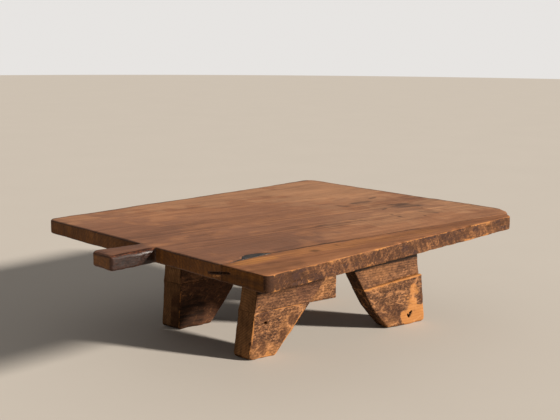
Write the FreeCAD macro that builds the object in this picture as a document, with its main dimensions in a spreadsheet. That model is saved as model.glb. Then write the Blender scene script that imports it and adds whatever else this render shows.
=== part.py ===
# Low wooden table with a carrying handle: two edge-joined boards on two notched rails with pieced feet.
# Millimetres, +Z up. The origin lies on the floor under the middle of the whole outline, handle included.
# X runs along the top, with the handle towards -X. The rails follow the grain, turned a little from X.
import FreeCAD, Part
import os
import re

import Sketcher

SIZES = {
    # Top
    "table_height": 240.0,
    "board_length": 800.0,
    "board_width": 649.0,
    "board_thickness": 29.0,
    "corner_clip": 62.0,
    "left_corner_radius": 14.0,
    "back_corner_radius": 26.0,
    "front_corner_radius": 12.0,
    "clip_radius": 16.0,
    "arris_radius": 4.0,
    # Handle, cut from the wide board
    "handle_length": 106.0,
    "handle_root_width": 48.0,
    "handle_tip_width": 54.0,
    "handle_root_offset": 15.0,
    "handle_tip_offset": 6.0,
    "handle_tip_radius": 21.0,
    "handle_root_radius": 5.0,
    # Joint between the boards: width of the front board at three places along it
    "front_board_wide_end": 109.0,
    "front_board_bend": 112.0,
    "front_board_tip": 20.0,
    "joint_bend_run": 124.0,
    "filler_width": 21.0,
    "filler_depth": 8.0,
    # Rails and feet: reaches along the rail from the middle of the base, at the floor unless named
    "grain_angle": 9.0,
    "base_width": 294.0,
    "near_rail_thickness": 40.0,
    "far_rail_thickness": 48.0,
    "near_end_skew": 12.0,
    "far_end_skew": 15.0,
    "notch_web": 33.0,
    "notch_flat": 18.0,
    "near_notch_offset": 17.0,
    "far_notch_offset": 3.0,
    "front_toe": 217.0,
    "front_heel": 155.0,
    "front_shoulder": 67.0,
    "front_foot_height": 95.0,
    "front_rake": 31.0,
    "front_belly": 2.0,
    "right_toe": 247.0,
    "right_heel": 145.0,
    "right_shoulder": 66.0,
    "right_foot_height": 110.0,
    "right_rake": 24.0,
    "right_belly": 9.0,
    "right_foot_step": 10.0,
    "left_toe": 229.0,
    "left_heel": 150.0,
    "left_shoulder": 73.0,
    "left_foot_height": 100.0,
    "left_rake": 14.0,
    "left_belly": 3.0,
    "back_toe": 207.0,
    "back_heel": 125.0,
    "back_shoulder": 55.0,
    "back_foot_height": 105.0,
    "back_rake": 3.0,
    "back_belly": 3.0,
    "foot_edge_radius": 4.0,
    # Hidden dowels
    "dowel_diameter": 12.0,
    "joint_dowel_diameter": 10.0,
    "joint_dowel_length": 50.0,
    "board_dowel_depth": 16.0,
    "rail_dowel_depth": 34.0,
    "foot_dowel_length": 60.0,
    "fit_gap": 0.1,
    "overrun": 20.0,
}
JOINT_DOWEL_SHARES = (0.10, 0.36, 0.62)
RAIL_DOWEL_SHARES = (0.40, 0.78)
FOOT_DOWEL_SHARES = (0.30, 0.70)
FILLER_SHARES = (0.14, 0.97)
MIDDLE_SHARE = 0.5

# Each foot: which end of its rail it stands under, -1 at the handle end, and its rail
FEET = {"front": (-1, "near"), "right": (1, "near"), "left": (-1, "far"), "back": (1, "far")}
RAILS = {"near": ("front", "right"), "far": ("left", "back")}
# The face of each rail on the lower Y side, and the sizes that step a foot out from it
RAIL_FACE = {"near": "-base_width / 2", "far": "base_width / 2 - far_rail_thickness"}
FOOT_STEP = {"right": " - right_foot_step"}
UNDERSIDE = "(table_height - board_thickness)"
NOTCH_TOP = f"({UNDERSIDE} - notch_web)"
# Bores of the dowel holes
HOLE = "(dowel_diameter + 2 * fit_gap)"
JOINT_HOLE = "(joint_dowel_diameter + 2 * fit_gap)"

doc = FreeCAD.newDocument("low_table")
sheet = doc.addObject("Spreadsheet::Sheet", "Sizes")
for row, (alias, number) in enumerate(SIZES.items(), start=1):
    sheet.set(f"A{row}", alias.replace("_", " "))
    sheet.set(f"B{row}", str(number))
    sheet.setAlias(f"B{row}", alias)
doc.recompute()

SIZE_NAME = re.compile(r"\b(" + "|".join(SIZES) + r")\b")


def bound(text):
    """Expression in size names, with each name pointing at its cell."""
    return SIZE_NAME.sub(r"Sizes.\1", text)


def value(text):
    """Number that an expression in size names gives."""
    return float(sheet.evalExpression(text))


def plan_point(place):
    """Vector of a pair of expressions."""
    return FreeCAD.Vector(value(place[0]), value(place[1]), 0)


def new_body(label, level=None, turned=False):
    """Body centred under the top, lifted to a level and, for the base, turned with the grain."""
    body = doc.addObject("PartDesign::Body", label)
    body.setExpression("Placement.Base.x", bound("handle_length / 2"))
    if level:
        body.setExpression("Placement.Base.z", bound(level))
    if turned:
        body.setExpression("Placement.Rotation.Angle", bound("-grain_angle * 1 deg"))
    return body


def new_sketch(body, name, role="XY_Plane", level=None):
    """Sketch on one of the body's own origin planes, lifted to a level."""
    sketch = body.newObject("Sketcher::SketchObject", name)
    plane = next(item for item in body.Origin.OriginFeatures if item.Role == role)
    sketch.AttachmentSupport = [(plane, "")]
    sketch.MapMode = "FlatFace"
    if level:
        sketch.setExpression("AttachmentOffset.Base.z", bound(level))
    return sketch


def pin_point(sketch, geometry, end, place):
    """Hold one end of a line or arc, or a circle's centre, at a pair of expressions."""
    for kind, text in zip(("DistanceX", "DistanceY"), place):
        index = sketch.addConstraint(Sketcher.Constraint(kind, -1, 1, geometry, end, value(text)))
        sketch.setExpression(f"Constraints[{index}]", bound(text))


def draw_polygon(sketch, corners):
    """Closed straight outline through pairs of expressions."""
    points = [plan_point(corner) for corner in corners]
    lines = [sketch.addGeometry(Part.LineSegment(start, end))
             for start, end in zip(points, points[1:] + points[:1])]
    for line, following in zip(lines, lines[1:] + lines[:1]):
        sketch.addConstraint(Sketcher.Constraint("Coincident", line, 2, following, 1))
    for line, corner in zip(lines, corners):
        pin_point(sketch, line, 1, corner)


def draw_bow(sketch, start, end, rise):
    """Closed outline of a straight side and an arc that rises from it on its left."""
    first, last = plan_point(start), plan_point(end)
    side = last - first
    left = FreeCAD.Vector(-side.y, side.x, 0).normalize()
    crown = (first + last) / 2 + left * value(rise)
    line = sketch.addGeometry(Part.LineSegment(first, last))
    arc = sketch.addGeometry(Part.Arc(last, crown, first))
    sketch.addConstraint(Sketcher.Constraint("Coincident", line, 2, arc, 1))
    sketch.addConstraint(Sketcher.Constraint("Coincident", arc, 2, line, 1))
    pin_point(sketch, line, 1, start)
    pin_point(sketch, line, 2, end)
    square = f"(({end[0]}) - ({start[0]})) ^ 2 + (({end[1]}) - ({start[1]})) ^ 2"
    radius = f"({square}) / (8 * {rise}) + {rise} / 2"
    index = sketch.addConstraint(Sketcher.Constraint("Radius", arc, value(radius)))
    sketch.setExpression(f"Constraints[{index}]", bound(radius))


def draw_circles(sketch, places, diameter):
    """Equal circles at pairs of expressions."""
    for place in places:
        circle = Part.Circle(plan_point(place), FreeCAD.Vector(0, 0, 1), value(diameter) / 2)
        geometry = sketch.addGeometry(circle)
        pin_point(sketch, geometry, 3, place)
        index = sketch.addConstraint(Sketcher.Constraint("Diameter", geometry, value(diameter)))
        sketch.setExpression(f"Constraints[{index}]", bound(diameter))


def add_pad(body, sketch, length, other_side=None):
    """Solid raised from a sketch, on both sides of it where a second length is given."""
    pad = body.newObject("PartDesign::Pad", sketch.Name + "_pad")
    pad.Profile = sketch
    pad.setExpression("Length", bound(length))
    if other_side:
        pad.SideType = "Two sides"
        pad.setExpression("Length2", bound(other_side))
    doc.recompute()
    return pad


def add_pocket(body, sketch, depth, both_sides=True):
    """Cut of one depth, on both sides of the sketch or only down from it."""
    before = body.Shape.Volume
    pocket = body.newObject("PartDesign::Pocket", sketch.Name + "_cut")
    pocket.Profile = sketch
    if both_sides:
        pocket.SideType = "Symmetric"
        depth = f"2 * ({depth})"
    pocket.setExpression("Length", bound(depth))
    doc.recompute()
    if not body.Shape.Volume < before:
        raise RuntimeError(f"{sketch.Name} cuts nothing")


def add_plank(body, name, corners, rail, high):
    """Plank with square faces and skewed ends, from its side view on its higher Y face."""
    sketch = new_sketch(body, name, role="XZ_Plane", level=f"-({high})")
    draw_polygon(sketch, corners)
    pad = body.newObject("PartDesign::Pad", f"{name}_pad")
    pad.Profile = sketch
    pad.UseCustomVector = True
    pad.AlongSketchNormal = True
    pad.Direction = FreeCAD.Vector(0, -1, 0)
    pad.setExpression("Length", bound(f"{rail}_rail_thickness"))
    pad.setExpression("Direction.x", bound(f"{rail}_end_skew"))
    pad.setExpression("Direction.y", bound(f"-{rail}_rail_thickness"))
    doc.recompute()


def add_fillet(body, name, radius, wanted):
    """Rounding of the edges of the body's last feature that a test picks."""
    base = body.Tip
    names = [f"Edge{index}" for index, edge in enumerate(base.Shape.Edges, start=1) if wanted(edge)]
    if not names:
        raise RuntimeError(f"{name} finds no edge")
    fillet = body.newObject("PartDesign::Fillet", name)
    fillet.Base = (base, names)
    fillet.setExpression("Radius", bound(radius))
    doc.recompute()


def upright_at(corner):
    """Test for the upright edge at a plan corner."""
    point = plan_point(corner)

    def test(edge):
        ends = [FreeCAD.Vector(vertex.X, vertex.Y, 0) for vertex in edge.Vertexes]
        return len(ends) == 2 and all(end.isEqual(point, value("fit_gap")) for end in ends)
    return test


# Plan of the top, about its own middle
END_X, SIDE_Y = "-board_length / 2", "board_width / 2"
JOINT = [
    (END_X, "front_board_wide_end - board_width / 2"),
    ("joint_bend_run - board_length / 2", "front_board_bend - board_width / 2"),
    ("board_length / 2 - corner_clip + front_board_tip", "front_board_tip - board_width / 2"),
]
LEFT_CORNER, BACK_CORNER = (END_X, SIDE_Y), ("board_length / 2", SIDE_Y)
FRONT_CORNER = (END_X, "-board_width / 2")
CLIP_END = ("board_length / 2", "corner_clip - board_width / 2")
CLIP_FRONT = ("board_length / 2 - corner_clip", "-board_width / 2")
TIP_X = "-board_length / 2 - handle_length"
HANDLE_TIP = [
    (TIP_X, "handle_tip_width / 2 - handle_tip_offset"),
    (TIP_X, "-handle_tip_width / 2 - handle_tip_offset"),
]
HANDLE_ROOT = [
    (END_X, "handle_root_width / 2 - handle_root_offset"),
    (END_X, "-handle_root_width / 2 - handle_root_offset"),
]
JOINT_RISE = "(front_board_bend - front_board_tip)"
JOINT_RUN = "(board_length - corner_clip + front_board_tip - joint_bend_run)"
JOINT_ANGLE = f"atan({JOINT_RISE} / {JOINT_RUN})"
JOINT_STRAIGHT = f"sqrt({JOINT_RISE} ^ 2 + {JOINT_RUN} ^ 2)"


def along_joint(share):
    """Place on the joint between the handle end and its bend, as a share of that stretch."""
    return tuple(f"({start}) * (1 - {share}) + ({end}) * {share}" for start, end in zip(JOINT[0], JOINT[1]))


FILLER_ENDS = [along_joint(share) for share in FILLER_SHARES]


def on_joint(edge):
    """Whether an edge lies in the upright face where the two boards meet."""
    points = [plan_point(place) for place in JOINT]
    middle = edge.valueAt((edge.FirstParameter + edge.LastParameter) / 2)
    middle.z = 0
    distances = [middle.distanceToLine(start, end - start) for start, end in zip(points, points[1:])]
    return min(distances) < value("fit_gap") and middle.x > points[0].x + value("fit_gap")


def is_outer_arris(edge):
    """Whether an edge runs round the top or bottom face of a board, away from the joint."""
    box = edge.BoundBox
    flat = box.ZLength < value("fit_gap")
    at_face = min(abs(box.ZMin), abs(box.ZMin - value("board_thickness"))) < value("fit_gap")
    return flat and at_face and not on_joint(edge)


def add_joint_dowel_sketch(body, name, diameter):
    """Circles in the upright plane of the straight joint, at half the boards' thickness."""
    sketch = new_sketch(body, name, role="XZ_Plane")
    sketch.AttachmentOffset = FreeCAD.Placement(
        FreeCAD.Vector(), FreeCAD.Rotation(FreeCAD.Vector(0, 1, 0), -value(JOINT_ANGLE)))
    sketch.setExpression("AttachmentOffset.Rotation.Angle", bound(f"-{JOINT_ANGLE}"))
    for axis, text in zip("xyz", (JOINT[1][0], "board_thickness / 2", f"-({JOINT[1][1]})")):
        sketch.setExpression(f"AttachmentOffset.Base.{axis}", bound(text))
    for share in JOINT_DOWEL_SHARES:
        place = FreeCAD.Vector(value(f"{JOINT_STRAIGHT} * {share}"), 0, 0)
        circle = Part.Circle(place, FreeCAD.Vector(0, 0, 1), value(diameter) / 2)
        geometry = sketch.addGeometry(circle)
        index = sketch.addConstraint(Sketcher.Constraint("DistanceX", -1, 1, geometry, 3, place.x))
        sketch.setExpression(f"Constraints[{index}]", bound(f"{JOINT_STRAIGHT} * {share}"))
        sketch.addConstraint(Sketcher.Constraint("PointOnObject", geometry, 3, -1))
        index = sketch.addConstraint(Sketcher.Constraint("Diameter", geometry, value(diameter)))
        sketch.setExpression(f"Constraints[{index}]", bound(diameter))
    return sketch


def foot_toe(foot, level):
    """Expression for a foot's outer end on its rail's lower Y face, at a level above the floor."""
    end = FEET[foot][0]
    return f"{end} * ({foot}_toe - {foot}_rake * ({level}) / {UNDERSIDE})"


def foot_middle_y(foot):
    """Expression for the middle of the wood that a foot and its rail share."""
    rail = FEET[foot][1]
    step = FOOT_STEP.get(foot, "")
    return f"({RAIL_FACE[rail]} + {rail}_rail_thickness / 2 + (0{step}) / 2)"


def foot_dowel_places(foot):
    """Plan places of one foot's dowels, between its outer end and its shoulder at the joint."""
    end = FEET[foot][0]
    toe = foot_toe(foot, f"{foot}_foot_height")
    shoulder = f"{end} * {foot}_shoulder"
    return [(f"({toe}) * (1 - {share}) + ({shoulder}) * {share}", foot_middle_y(foot))
            for share in FOOT_DOWEL_SHARES]


def rail_dowel_places(rail):
    """Plan places of one rail's dowels into the top, as shares of its two ends' reach."""
    middle = f"({RAIL_FACE[rail]} + {rail}_rail_thickness / 2)"
    return [(f"{FEET[foot][0]} * {foot}_toe * {share}", middle)
            for foot in RAILS[rail] for share in RAIL_DOWEL_SHARES]


def turn_with_grain(sketch):
    """Turn a plan sketch of the top so that its places are those of the base."""
    sketch.setExpression("AttachmentOffset.Rotation.Angle", bound("-grain_angle * 1 deg"))


def add_board_holes(body, board):
    """Holes for the dowels that cross the joint between the boards."""
    holes = add_joint_dowel_sketch(body, f"{board}_joint_holes", JOINT_HOLE)
    add_pocket(body, holes, "joint_dowel_length / 2 + fit_gap")


def make_wide_board():
    """Wide board with its handle, the filler's recess and the dowel holes."""
    body = new_body("wide_board", UNDERSIDE)
    sketch = new_sketch(body, "wide_board_plan")
    handle = [HANDLE_ROOT[0], *HANDLE_TIP, HANDLE_ROOT[1]]
    draw_polygon(sketch, [LEFT_CORNER, *handle, *JOINT, CLIP_END, BACK_CORNER])
    add_pad(body, sketch, "board_thickness")
    for name, corners, radius in (
            ("left_corner", [LEFT_CORNER], "left_corner_radius"),
            ("back_corner", [BACK_CORNER], "back_corner_radius"),
            ("end_clip_corner", [CLIP_END], "clip_radius"),
            ("handle_tip", HANDLE_TIP, "handle_tip_radius"),
            ("handle_root", HANDLE_ROOT, "handle_root_radius")):
        tests = [upright_at(corner) for corner in corners]
        add_fillet(body, name, radius, lambda edge, tests=tests: any(test(edge) for test in tests))
    add_fillet(body, "wide_board_arris", "arris_radius", is_outer_arris)
    recess = new_sketch(body, "filler_recess", level="board_thickness")
    draw_bow(recess, *FILLER_ENDS, "filler_width")
    add_pocket(body, recess, "filler_depth", both_sides=False)
    add_board_holes(body, "wide_board")
    holes = new_sketch(body, "rail_dowel_tops")
    turn_with_grain(holes)
    draw_circles(holes, [place for rail in RAILS for place in rail_dowel_places(rail)], HOLE)
    add_pocket(body, holes, "board_dowel_depth + fit_gap")
    return body


def make_front_board():
    """Tapered front board that makes up the width of the top."""
    body = new_body("front_board", UNDERSIDE)
    sketch = new_sketch(body, "front_board_plan")
    draw_polygon(sketch, [FRONT_CORNER, CLIP_FRONT, *reversed(JOINT)])
    add_pad(body, sketch, "board_thickness")
    add_fillet(body, "front_corner", "front_corner_radius", upright_at(FRONT_CORNER))
    add_fillet(body, "front_clip_corner", "clip_radius", upright_at(CLIP_FRONT))
    add_fillet(body, "front_board_arris", "arris_radius", is_outer_arris)
    add_board_holes(body, "front_board")
    return body


def make_filler():
    """Dark filler let into the top beside the joint."""
    body = new_body("joint_filler", UNDERSIDE)
    sketch = new_sketch(body, "filler_plan", level="board_thickness - filler_depth")
    draw_bow(sketch, *FILLER_ENDS, "filler_width")
    add_pad(body, sketch, "filler_depth")
    return body


def make_joint_dowels():
    """Dowels across the joint between the boards."""
    body = new_body("joint_dowels", UNDERSIDE)
    sketch = add_joint_dowel_sketch(body, "joint_dowel_ends", "joint_dowel_diameter")
    add_pad(body, sketch, "joint_dowel_length / 2", "joint_dowel_length / 2")
    return body


def make_rail(rail):
    """Rail with its raked ends, the wide V notch between the feet and the dowel holes."""
    body = new_body(f"{rail}_rail", turned=True)
    skew = f"{rail}_end_skew"
    ends = [(f"{foot_toe(foot, level)} - {skew}", level)
            for foot, levels in zip(RAILS[rail], (("0", UNDERSIDE), (UNDERSIDE, "0"))) for level in levels]
    add_plank(body, f"{rail}_rail_side", ends, rail, f"{RAIL_FACE[rail]} + {rail}_rail_thickness")
    start, end = RAILS[rail]
    offset = f"{rail}_notch_offset" if rail == "near" else f"-{rail}_notch_offset"
    beyond_start = f"-{start}_toe - {rail}_end_skew - overrun"
    beyond_end = f"{end}_toe + overrun"
    notch = new_sketch(body, f"{rail}_rail_notch", role="XZ_Plane")
    draw_polygon(notch, [
        (beyond_start, "-overrun"),
        (beyond_end, "-overrun"),
        (beyond_end, f"{end}_foot_height"),
        (f"{end}_shoulder", f"{end}_foot_height"),
        (f"{offset} + notch_flat / 2", NOTCH_TOP),
        (f"{offset} - notch_flat / 2", NOTCH_TOP),
        (f"-{start}_shoulder", f"{start}_foot_height"),
        (beyond_start, f"{start}_foot_height"),
    ])
    add_pocket(body, notch, "base_width / 2 + overrun")
    tops = new_sketch(body, f"{rail}_rail_top_holes", level=UNDERSIDE)
    draw_circles(tops, rail_dowel_places(rail), HOLE)
    add_pocket(body, tops, "rail_dowel_depth + fit_gap")
    for foot in RAILS[rail]:
        holes = new_sketch(body, f"{foot}_rail_holes", level=f"{foot}_foot_height")
        draw_circles(holes, foot_dowel_places(foot), HOLE)
        add_pocket(body, holes, "foot_dowel_length / 2 + fit_gap")
    return body


def make_foot(foot):
    """Foot block under one end of a rail, with its bellied notch side, rounded edges and dowel holes."""
    end, rail = FEET[foot]
    body = new_body(f"{foot}_foot", turned=True)
    height = f"{foot}_foot_height"
    skew = f"{rail}_end_skew"
    add_plank(body, f"{foot}_foot_side", [
        (f"{foot_toe(foot, '0')} - {skew}", "0"),
        (f"{foot_toe(foot, height)} - {skew}", height),
        (f"-{skew}", height),
        (f"-{skew}", "0"),
    ], rail, f"{RAIL_FACE[rail]} + {rail}_rail_thickness" + FOOT_STEP.get(foot, ""))
    clear = f"{-end} * (overrun + {skew})"
    belly = f"({foot}_heel + {foot}_shoulder) * {MIDDLE_SHARE} - {foot}_belly"
    notch = new_sketch(body, f"{foot}_foot_notch", role="XZ_Plane")
    draw_polygon(notch, [
        (f"{end} * {foot}_heel", "-overrun"),
        (f"{end} * {foot}_heel", "0"),
        (f"{end} * ({belly})", f"{height} * {MIDDLE_SHARE}"),
        (f"{end} * {foot}_shoulder", height),
        (f"{end} * {foot}_shoulder", f"{height} + overrun"),
        (clear, f"{height} + overrun"),
        (clear, "-overrun"),
    ])
    add_pocket(body, notch, "base_width / 2 + right_foot_step + overrun")
    add_fillet(body, f"{foot}_foot_edges", "foot_edge_radius",
               lambda edge: edge.BoundBox.ZMax < value("fit_gap"))
    holes = new_sketch(body, f"{foot}_foot_holes", level=height)
    draw_circles(holes, foot_dowel_places(foot), HOLE)
    add_pocket(body, holes, "foot_dowel_length / 2 + fit_gap")
    return body


def make_rail_dowels():
    """Dowels that hold the top to the rails."""
    body = new_body("rail_dowels", turned=True)
    sketch = new_sketch(body, "rail_dowel_ends", level=UNDERSIDE)
    draw_circles(sketch, [place for rail in RAILS for place in rail_dowel_places(rail)], "dowel_diameter")
    add_pad(body, sketch, "board_dowel_depth", "rail_dowel_depth")
    return body


def make_foot_dowels(foot):
    """Dowels that hold one foot to its rail."""
    body = new_body(f"{foot}_foot_dowels", turned=True)
    sketch = new_sketch(body, f"{foot}_foot_dowel_ends", level=f"{foot}_foot_height")
    draw_circles(sketch, foot_dowel_places(foot), "dowel_diameter")
    add_pad(body, sketch, "foot_dowel_length / 2", "foot_dowel_length / 2")
    return body


def check(bodies):
    """Stop if any object failed or any piece is empty or invalid."""
    for item in doc.Objects:
        if "Invalid" in item.State or "Error" in item.State:
            raise RuntimeError(f"{item.Label} failed: {item.State}")
    for body in bodies:
        if body.Shape.isNull() or not body.Shape.isValid() or not body.Shape.Solids:
            raise RuntimeError(f"{body.Label} has no sound shape")


def main():
    """Build every piece, check it and write it out."""
    bodies = [make_wide_board(), make_front_board(), make_filler(), make_joint_dowels(), make_rail_dowels()]
    bodies += [make_rail(rail) for rail in RAILS]
    for foot in FEET:
        bodies += [make_foot(foot), make_foot_dowels(foot)]
    doc.recompute()
    check(bodies)
    os.makedirs("parts", exist_ok=True)
    for body in bodies:
        body.Shape.exportStep(f"parts/{body.Label}.step")
        print(body.Label, len(body.Shape.Solids), round(body.Shape.Volume), body.Shape.BoundBox)


main()
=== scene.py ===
"""Looks of a low table with a carrying handle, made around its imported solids.

The top is a wide board with a handle and a tapered front board, on two notched rails with pieced feet. Each
visible piece is a closed shell: a rounded profile carried round the piece's outline, with both faces filled,
then worn by smooth noise, chips and dents. All lengths are metres in the frame of the solids.
"""

import itertools
import logging
import math
from dataclasses import dataclass, field, replace
from enum import Enum

import bpy
import numpy as np
from mathutils import Matrix, Vector
from mathutils.geometry import delaunay_2d_cdt


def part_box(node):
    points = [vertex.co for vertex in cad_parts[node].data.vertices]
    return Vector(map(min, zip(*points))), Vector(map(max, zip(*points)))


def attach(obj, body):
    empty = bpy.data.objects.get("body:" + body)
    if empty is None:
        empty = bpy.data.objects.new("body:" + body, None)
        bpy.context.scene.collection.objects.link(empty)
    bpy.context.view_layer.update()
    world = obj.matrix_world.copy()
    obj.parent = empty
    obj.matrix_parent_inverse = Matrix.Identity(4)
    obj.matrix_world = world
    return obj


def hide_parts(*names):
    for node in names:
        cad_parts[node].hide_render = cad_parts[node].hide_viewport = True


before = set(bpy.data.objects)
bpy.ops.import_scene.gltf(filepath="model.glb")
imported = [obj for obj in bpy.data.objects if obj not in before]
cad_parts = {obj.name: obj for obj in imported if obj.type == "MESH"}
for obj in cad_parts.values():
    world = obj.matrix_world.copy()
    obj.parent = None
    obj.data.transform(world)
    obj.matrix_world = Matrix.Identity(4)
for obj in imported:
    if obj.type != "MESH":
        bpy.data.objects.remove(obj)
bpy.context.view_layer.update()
LOG = logging.getLogger("low_table")

BODY = "root"
GRAIN_TURN = math.radians(9.0)
MILLIMETRE = 0.001
QUARTER_TURN = math.pi / 2
TINY = 1e-12
FLUSH = 1e-6
Colour = tuple[float, float, float]
Tones = tuple[Colour, ...]
Point2 = tuple[float, float]
Point3 = tuple[float, float, float]


class Mark(Enum):
    """Per-point masks that the wood finishes read."""

    EDGE = "edge"
    SIDE = "side"
    UNDER = "under"
    END = "end"
    BARE = "bare"
    # Darkening for real stains, and also for painted shade and painted shadows
    STAIN_AND_SHADE = "stain_and_shade"
    WARM = "warm"
    ROSE = "rose"
    POLISH = "polish"
    GLOSS = "gloss"


class End(Enum):
    """End of the table that a foot stands at, as its sign along the rail."""

    HANDLE = -1
    FAR = 1


# Noise and masks


LATTICE_PRIMES = np.array([0x9E3779B97F4A7C15, 0xC2B2AE3D27D4EB4F, 0x165667B19E3779F9], dtype=np.uint64)
SEED_PRIME = 0x27D4EB2F
MIXING_PRIME = np.uint64(0xBF58476D1CE4E5B9)
RIM_SIZE = 0.03
RIM_SEED = 71


def ease(values: np.ndarray, low: float, high: float) -> np.ndarray:
    """Smooth step from 0 at low to 1 at high."""
    share = np.clip((values - low) / (high - low), 0.0, 1.0)
    return share * share * (3.0 - 2.0 * share)


def in_space(points: np.ndarray) -> np.ndarray:
    """Points of a plane as places in space."""
    return np.column_stack([points, np.zeros(len(points))])


def lattice_numbers(cells: np.ndarray, seed: int) -> np.ndarray:
    """Repeatable numbers for the whole-numbered points of a lattice.

    Args:
        cells: Whole-numbered points, one per row.
        seed: Choice of the numbers.

    Returns:
        One number from -1 to 1 per row: three products of primes, mixed by shifts.
    """
    whole = cells.astype(np.int64).astype(np.uint64)
    mixed = np.bitwise_xor.reduce(whole * LATTICE_PRIMES, axis=1) ^ np.uint64(seed * SEED_PRIME)
    mixed ^= mixed >> np.uint64(29)
    mixed *= MIXING_PRIME
    mixed ^= mixed >> np.uint64(32)
    return (mixed & np.uint64(0xFFFF)).astype(float) / 32767.5 - 1.0


def smooth_noise(points: np.ndarray, size: float, seed: int) -> np.ndarray:
    """Smooth random numbers over space.

    Args:
        points: Places, three numbers per row.
        size: Distance between the lattice points that carry the numbers.
        seed: Choice of the numbers.

    Returns:
        One number from about -1 to 1 per row: the eased mean of the eight corners round the place.
    """
    scaled = points / size
    cell = np.floor(scaled)
    weight = ease(scaled - cell, 0.0, 1.0)
    total = np.zeros(len(points))
    for corner in itertools.product((0, 1), repeat=3):
        share = np.prod(np.where(corner, weight, 1.0 - weight), axis=1)
        total += share * lattice_numbers(cell + corner, seed)
    return total


def fractal(points: np.ndarray, size: float, seed: int, octaves: int = 3) -> np.ndarray:
    """Sum of smooth noises, each half the size and half the height of the one before."""
    return sum(smooth_noise(points, size / 2**k, seed + k) / 2**k for k in range(octaves))


@dataclass(frozen=True)
class Patch:
    """Oval area on a face: its middle, its half sizes, its turn in degrees and its strength."""

    middle: Point2
    reach: Point2
    turn: float = 0.0
    strength: float = 1.0

    def axes(self) -> np.ndarray:
        """Matrix whose columns are the directions of the two half sizes."""
        turn = math.radians(self.turn)
        return np.array([[math.cos(turn), -math.sin(turn)], [math.sin(turn), math.cos(turn)]])

    def grid(self, spacing: float) -> np.ndarray:
        """Fine square grid over the patch's box.

        Args:
            spacing: Spacing of the points.

        Returns:
            The points, turned with the patch.
        """
        ticks = [np.arange(-reach, reach + spacing, spacing) for reach in self.reach]
        local = np.stack(np.meshgrid(*ticks), axis=-1).reshape(-1, 2)
        return np.array(self.middle) + local @ self.axes().T


Patches = tuple[Patch, ...]


def patches(*rows: tuple[float, ...]) -> Patches:
    """Ovals from rows of numbers: the middle, the half sizes and, where they differ, turn and strength."""
    return tuple(Patch(row[:2], row[2:4], *row[4:]) for row in rows)


def cover(points: np.ndarray, ovals: Patches, ragged: float = 0.25) -> np.ndarray:
    """Strength of oval patches over a face.

    Args:
        points: Places on the face, two numbers per row.
        ovals: The patches.
        ragged: How far noise moves the rims, as a share of each oval.

    Returns:
        The strongest patch at each place. Each fades out across its rim, where the place's distance from
        the middle, counted in half sizes, passes 1.
    """
    rim = ragged * fractal(in_space(points), RIM_SIZE, RIM_SEED)
    total = np.zeros(len(points))
    for patch in ovals:
        local = (points - patch.middle) @ patch.axes() / patch.reach
        inside = 1.0 - ease(np.hypot(local[:, 0], local[:, 1]) + rim, 0.7, 1.2)
        total = np.maximum(total, patch.strength * inside)
    return total


@dataclass(frozen=True)
class Dent:
    """Mark torn into a surface along a short line between two places."""

    start: Point3
    end: Point3
    radius: float
    depth: float

    def pressed(self, places: np.ndarray) -> np.ndarray:
        """How deep the mark is at some places.

        Args:
            places: The places, three numbers per row.

        Returns:
            Shares of the full depth: 1 near the mark's line, none beyond its radius.
        """
        start, run = np.array(self.start), np.subtract(self.end, self.start)
        share = np.clip((places - start) @ run / max(run @ run, TINY), 0.0, 1.0)
        distance = np.linalg.norm(places - start - share[:, None] * run, axis=1)
        return 1.0 - ease(distance, 0.35 * self.radius, self.radius)


# Outlines and shells


NO_POINTS = np.zeros((0, 2))
GRID_ROWS = 1500
STRAIGHT = 0.01


@dataclass(frozen=True)
class Outline:
    """Closed outline with rounded corners, walked anticlockwise.

    before and after are the numbers of the sides round each point, blend the share of the second one, and
    travel the share of the side that is walked. room is the largest arris that fits at each point.
    """

    points: np.ndarray
    normals: np.ndarray
    before: np.ndarray
    after: np.ndarray
    blend: np.ndarray
    travel: np.ndarray
    corners: np.ndarray
    room: np.ndarray

    def per_side(self, values: list[float]) -> np.ndarray:
        """One value per point from one per side, blended round the corners."""
        table = np.array(values)
        return (1.0 - self.blend) * table[self.before] + self.blend * table[self.after]

    def per_corner(self, values: list[float]) -> np.ndarray:
        """One value per point from one per corner, changing evenly along each side."""
        table = np.array(values)
        return (1.0 - self.travel) * table[self.after] + self.travel * np.roll(table, -1)[self.after]

    def near_corner(self, weights: list[float], reach: float) -> np.ndarray:
        """Closeness to the corners: each weight, fading with the distance over the reach."""
        distance = np.linalg.norm(self.points[:, None] - self.corners[None], axis=2)
        return (np.array(weights) * np.exp(-distance / reach)).max(axis=1)

    def arris(self, values: list[float], rub: np.ndarray) -> np.ndarray:
        """Arris radius per point from millimetres per side, kept small enough for the corners' own radii."""
        return np.minimum(self.per_side(values) * rub * MILLIMETRE, self.room)

    def wobble(self, values: list[float], size: float, seed: int) -> np.ndarray:
        """Uneven sawing of each side by its value in millimetres, dying out at the corners."""
        calm = 1.0 - self.near_corner([1.0] * len(self.corners), 0.012)
        return self.per_side(values) * MILLIMETRE * calm * fractal(in_space(self.points), size, seed)

    def pushed(self, amount: np.ndarray) -> "Outline":
        """The outline with each point moved along its normal."""
        return replace(self, points=self.points + self.normals * amount[:, None])


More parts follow.
